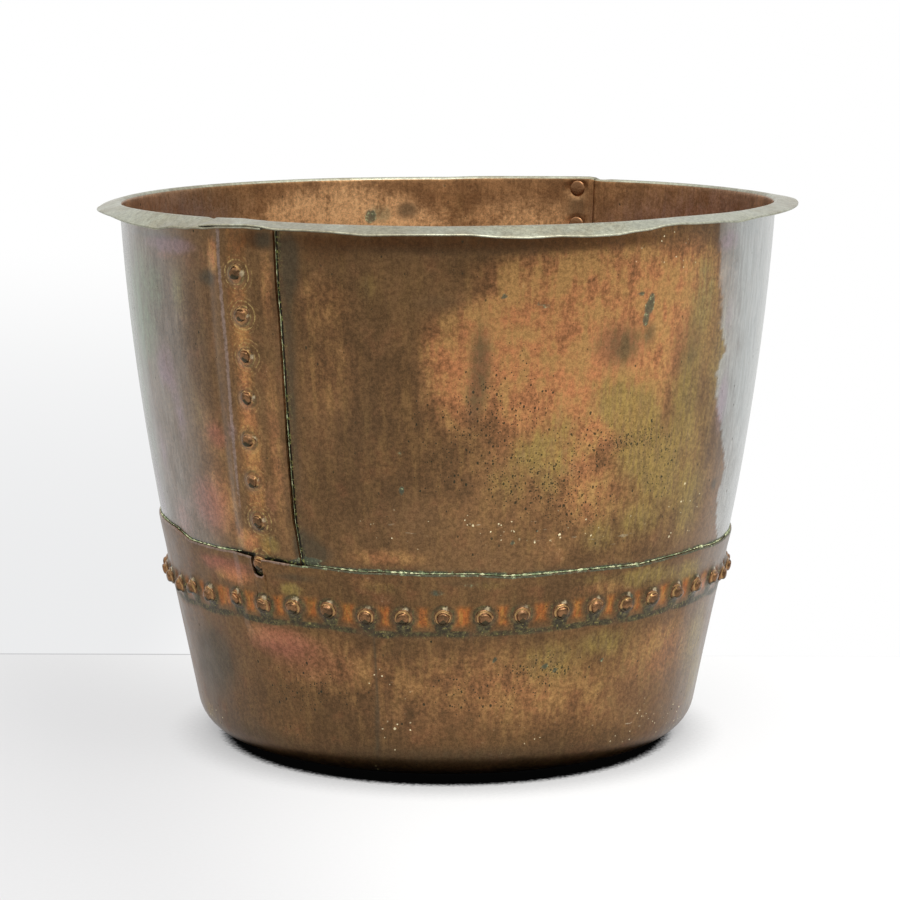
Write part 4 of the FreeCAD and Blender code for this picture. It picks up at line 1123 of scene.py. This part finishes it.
class CopperStage(bpy.types.PropertyGroup):
    """Floor, light and camera."""
    lens: FloatProperty(
        name="Focal length", description="Camera lens for a 36 mm wide sensor", default=120.96,
        min=20, max=300)
    tilt: FloatProperty(
        name="Tilt", description="Camera looks down by this angle", default=math.radians(9.0232),
        subtype="ANGLE")
    roll: FloatProperty(
        name="Roll", description="Picture turned by this angle", default=math.radians(0.161),
        subtype="ANGLE")
    lamp_power: FloatProperty(
        name="Lamp power", description="Soft lamp above the front", default=18.0, min=0, max=100,
        unit="POWER")
    felt: FloatVectorProperty(
        name="Felt", description="White felt of the floor", subtype="COLOR", size=3,
        default=(0.9, 0.9, 0.905), min=0, max=1)


# --------------------------------------------------------------------------- operators
def settled(made, nodes, material):
    """A finished piece rides the vessel, stands for its CAD nodes and takes its slot."""
    made.data.materials.append(material)
    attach(made, "root")
    if nodes:
        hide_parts(*nodes)


def wall_finish(sheets):
    """The one material of both walls."""
    found = bpy.data.materials.get("walls_patina")
    return found or sheet_material("walls_patina", sheets.wall_brown, sheets.wall_deep, sheets.sheen)


class COPPER_OT_left_wall(bpy.types.Operator):
    """Make the left wall sheet, whose front edge laps over the right one"""
    bl_idname = "copper.left_wall"
    bl_label = "Left wall sheet"

    def execute(self, context):
        sheets = context.scene.copper_sheets
        stand = sheets.edge_stand_off / MM

        def standing(theta, height):
            near = ramp(theta, -31.5, -28.9)
            return near * (0.3 + stand * ramp(height, 188, 206) * (1 - ramp(height, 262, 290)))

        made = wall_sheet("left_wall_sheet", LEFT_SPAN, FRONT_RISE, standing)
        settled(made, ["left_wall_sheet"], wall_finish(sheets))
        return {"FINISHED"}


class COPPER_OT_right_wall(bpy.types.Operator):
    """Make the right wall sheet, whose back edge laps over the left one"""
    bl_idname = "copper.right_wall"
    bl_label = "Right wall sheet"

    def execute(self, context):
        def standing(theta, height):
            return 0.35 * ramp(theta, 158.5, 161.5) * (0.7 + 0.3 * np.sin(height / 23.0))

        made = wall_sheet("right_wall_sheet", RIGHT_SPAN, BACK_RISE, standing)
        settled(made, ["right_wall_sheet"], wall_finish(context.scene.copper_sheets))
        return {"FINISHED"}


class COPPER_OT_pan(bpy.types.Operator):
    """Make the round-bottomed pan with its notched lip"""
    bl_idname = "copper.pan"
    bl_label = "Base pan"

    def execute(self, context):
        sheets = context.scene.copper_sheets
        finish = sheet_material("pan_patina", sheets.pan_brown, sheets.pan_deep, sheets.sheen)
        settled(base_pan(), ["base_pan"], finish)
        return {"FINISHED"}


class COPPER_OT_rivets(bpy.types.Operator):
    """Make the rivets of the girth and of both seams"""
    bl_idname = "copper.rivets"
    bl_label = "Rivets"

    def execute(self, context):
        rivets = context.scene.copper_rivets
        girth = rivets.girth_swell / MM
        seam = rivets.seam_swell / MM
        finish = rivet_material("rivets_hammered", rivets.tone, rivets.gilt)
        front = np.where(FRONT_SEAM[:, 1] < 170, seam, SEAM_SWELL)[:, None, None]
        sets = (
            ("girth_rivets", GIRTH, 1.0, girth, 21),
            ("seam_crossing_rivets", CROSSING, 2.0, girth, 22),
            ("front_seam_rivets", FRONT_SEAM, 1.0, front, 23),
            ("back_seam_rivets", BACK_SEAM, 1.0, SEAM_SWELL, 24),
        )
        for name, places, layer, swell, seed in sets:
            settled(rivet_set(name, places, layer, swell, seed), [name], finish)
        return {"FINISHED"}


class COPPER_OT_crust(bpy.types.Operator):
    """Make the beads of salts along the pan's lip and the seams' edges"""
    bl_idname = "copper.crust"
    bl_label = "Salt crust"

    def execute(self, context):
        crust = context.scene.copper_crust
        finish = crust_material("salts", crust.pale, crust.green)
        for number, theta in enumerate((np.linspace(-26.5, 149.0, 900), np.linspace(163, 318, 700))):
            height = lip_height(theta) + 0.5
            made = crust_line(f"lip_salts_{number}", theta, height, 0.5, 31 + number, crust.lip_bead / MM)
            settled(made, [], finish)
        level = np.linspace(174, 421, 420)
        for name, azimuth, edge, seed in (
                ("front_edge_salts", -28.35, LEFT_SPAN[1], 41), ("back_edge_salts", 162.0, 162.0, 42)):
            theta = azimuth + drift(np.full(len(level), edge), level)
            made = crust_line(name, theta, level, 0.3, seed, crust.edge_bead / MM)
            settled(made, [], finish)
        return {"FINISHED"}


class COPPER_OT_stage(bpy.types.Operator):
    """Set the pale floor, the soft light and the camera"""
    bl_idname = "copper.stage"
    bl_label = "Stage"

    def execute(self, context):
        stage = context.scene.copper_stage
        scene = context.scene
        floor = make_mesh("felt_floor", FELT_CORNERS, [np.array([[0, 1, 2, 3]])])
        floor.data.materials.append(felt_material(stage.felt))
        scene.world = studio_world()

        lamp_data = bpy.data.lights.new("soft_lamp", "AREA")
        lamp_data.shape = "RECTANGLE"
        lamp_data.size, lamp_data.size_y = LAMP_SIZE
        lamp_data.energy = stage.lamp_power
        lamp = bpy.data.objects.new("soft_lamp", lamp_data)
        lamp.matrix_world = Matrix.Translation(LAMP_PLACE) @ Matrix.Rotation(LAMP_TILT, 4, "X")
        scene.collection.objects.link(lamp)

        camera_data = bpy.data.cameras.new("camera")
        camera_data.sensor_width = SENSOR
        camera_data.lens = stage.lens
        camera = bpy.data.objects.new("camera", camera_data)
        tilted = Matrix.Rotation(math.pi / 2 - stage.tilt, 4, "X")
        rolled = Matrix.Rotation(stage.roll, 4, "Z")
        camera.matrix_world = Matrix.Translation(CAMERA_PLACE) @ tilted @ rolled
        scene.collection.objects.link(camera)
        scene.camera = camera
        scene.view_settings.view_transform = "Standard"
        return {"FINISHED"}


class COPPER_PT_panel(bpy.types.Panel):
    """Lists the pieces in the order in which they are made"""
    bl_label = "Laundry copper"
    bl_idname = "COPPER_PT_panel"
    bl_space_type = "VIEW_3D"
    bl_region_type = "UI"
    bl_category = "Copper"

    def draw(self, context):
        for owner in GROUPS:
            group = getattr(context.scene, owner)
            box = self.layout.box()
            for name in group.bl_rna.properties.keys():
                if name not in ("rna_type", "name"):
                    box.prop(group, name)
        for made in OPERATORS:
            self.layout.operator(made.bl_idname)


GROUPS = {
    "copper_sheets": CopperSheets,
    "copper_rivets": CopperRivets,
    "copper_crust": CopperCrust,
    "copper_stage": CopperStage,
}
OPERATORS = (COPPER_OT_left_wall, COPPER_OT_right_wall, COPPER_OT_pan, COPPER_OT_rivets, COPPER_OT_crust,
             COPPER_OT_stage)


def register():
    for group in GROUPS.values():
        bpy.utils.register_class(group)
    for name, group in GROUPS.items():
        setattr(bpy.types.Scene, name, PointerProperty(type=group))
    for made in OPERATORS:
        bpy.utils.register_class(made)
    bpy.utils.register_class(COPPER_PT_panel)


def unregister():
    bpy.utils.unregister_class(COPPER_PT_panel)
    for made in reversed(OPERATORS):
        bpy.utils.unregister_class(made)
    for name in GROUPS:
        delattr(bpy.types.Scene, name)
    for group in reversed(list(GROUPS.values())):
        bpy.utils.unregister_class(group)


def main():
    register()
    bpy.ops.copper.left_wall()
    bpy.ops.copper.right_wall()
    bpy.ops.copper.pan()
    bpy.ops.copper.rivets()
    bpy.ops.copper.crust()
    bpy.ops.copper.stage()


if __name__ == "__main__":
    main()
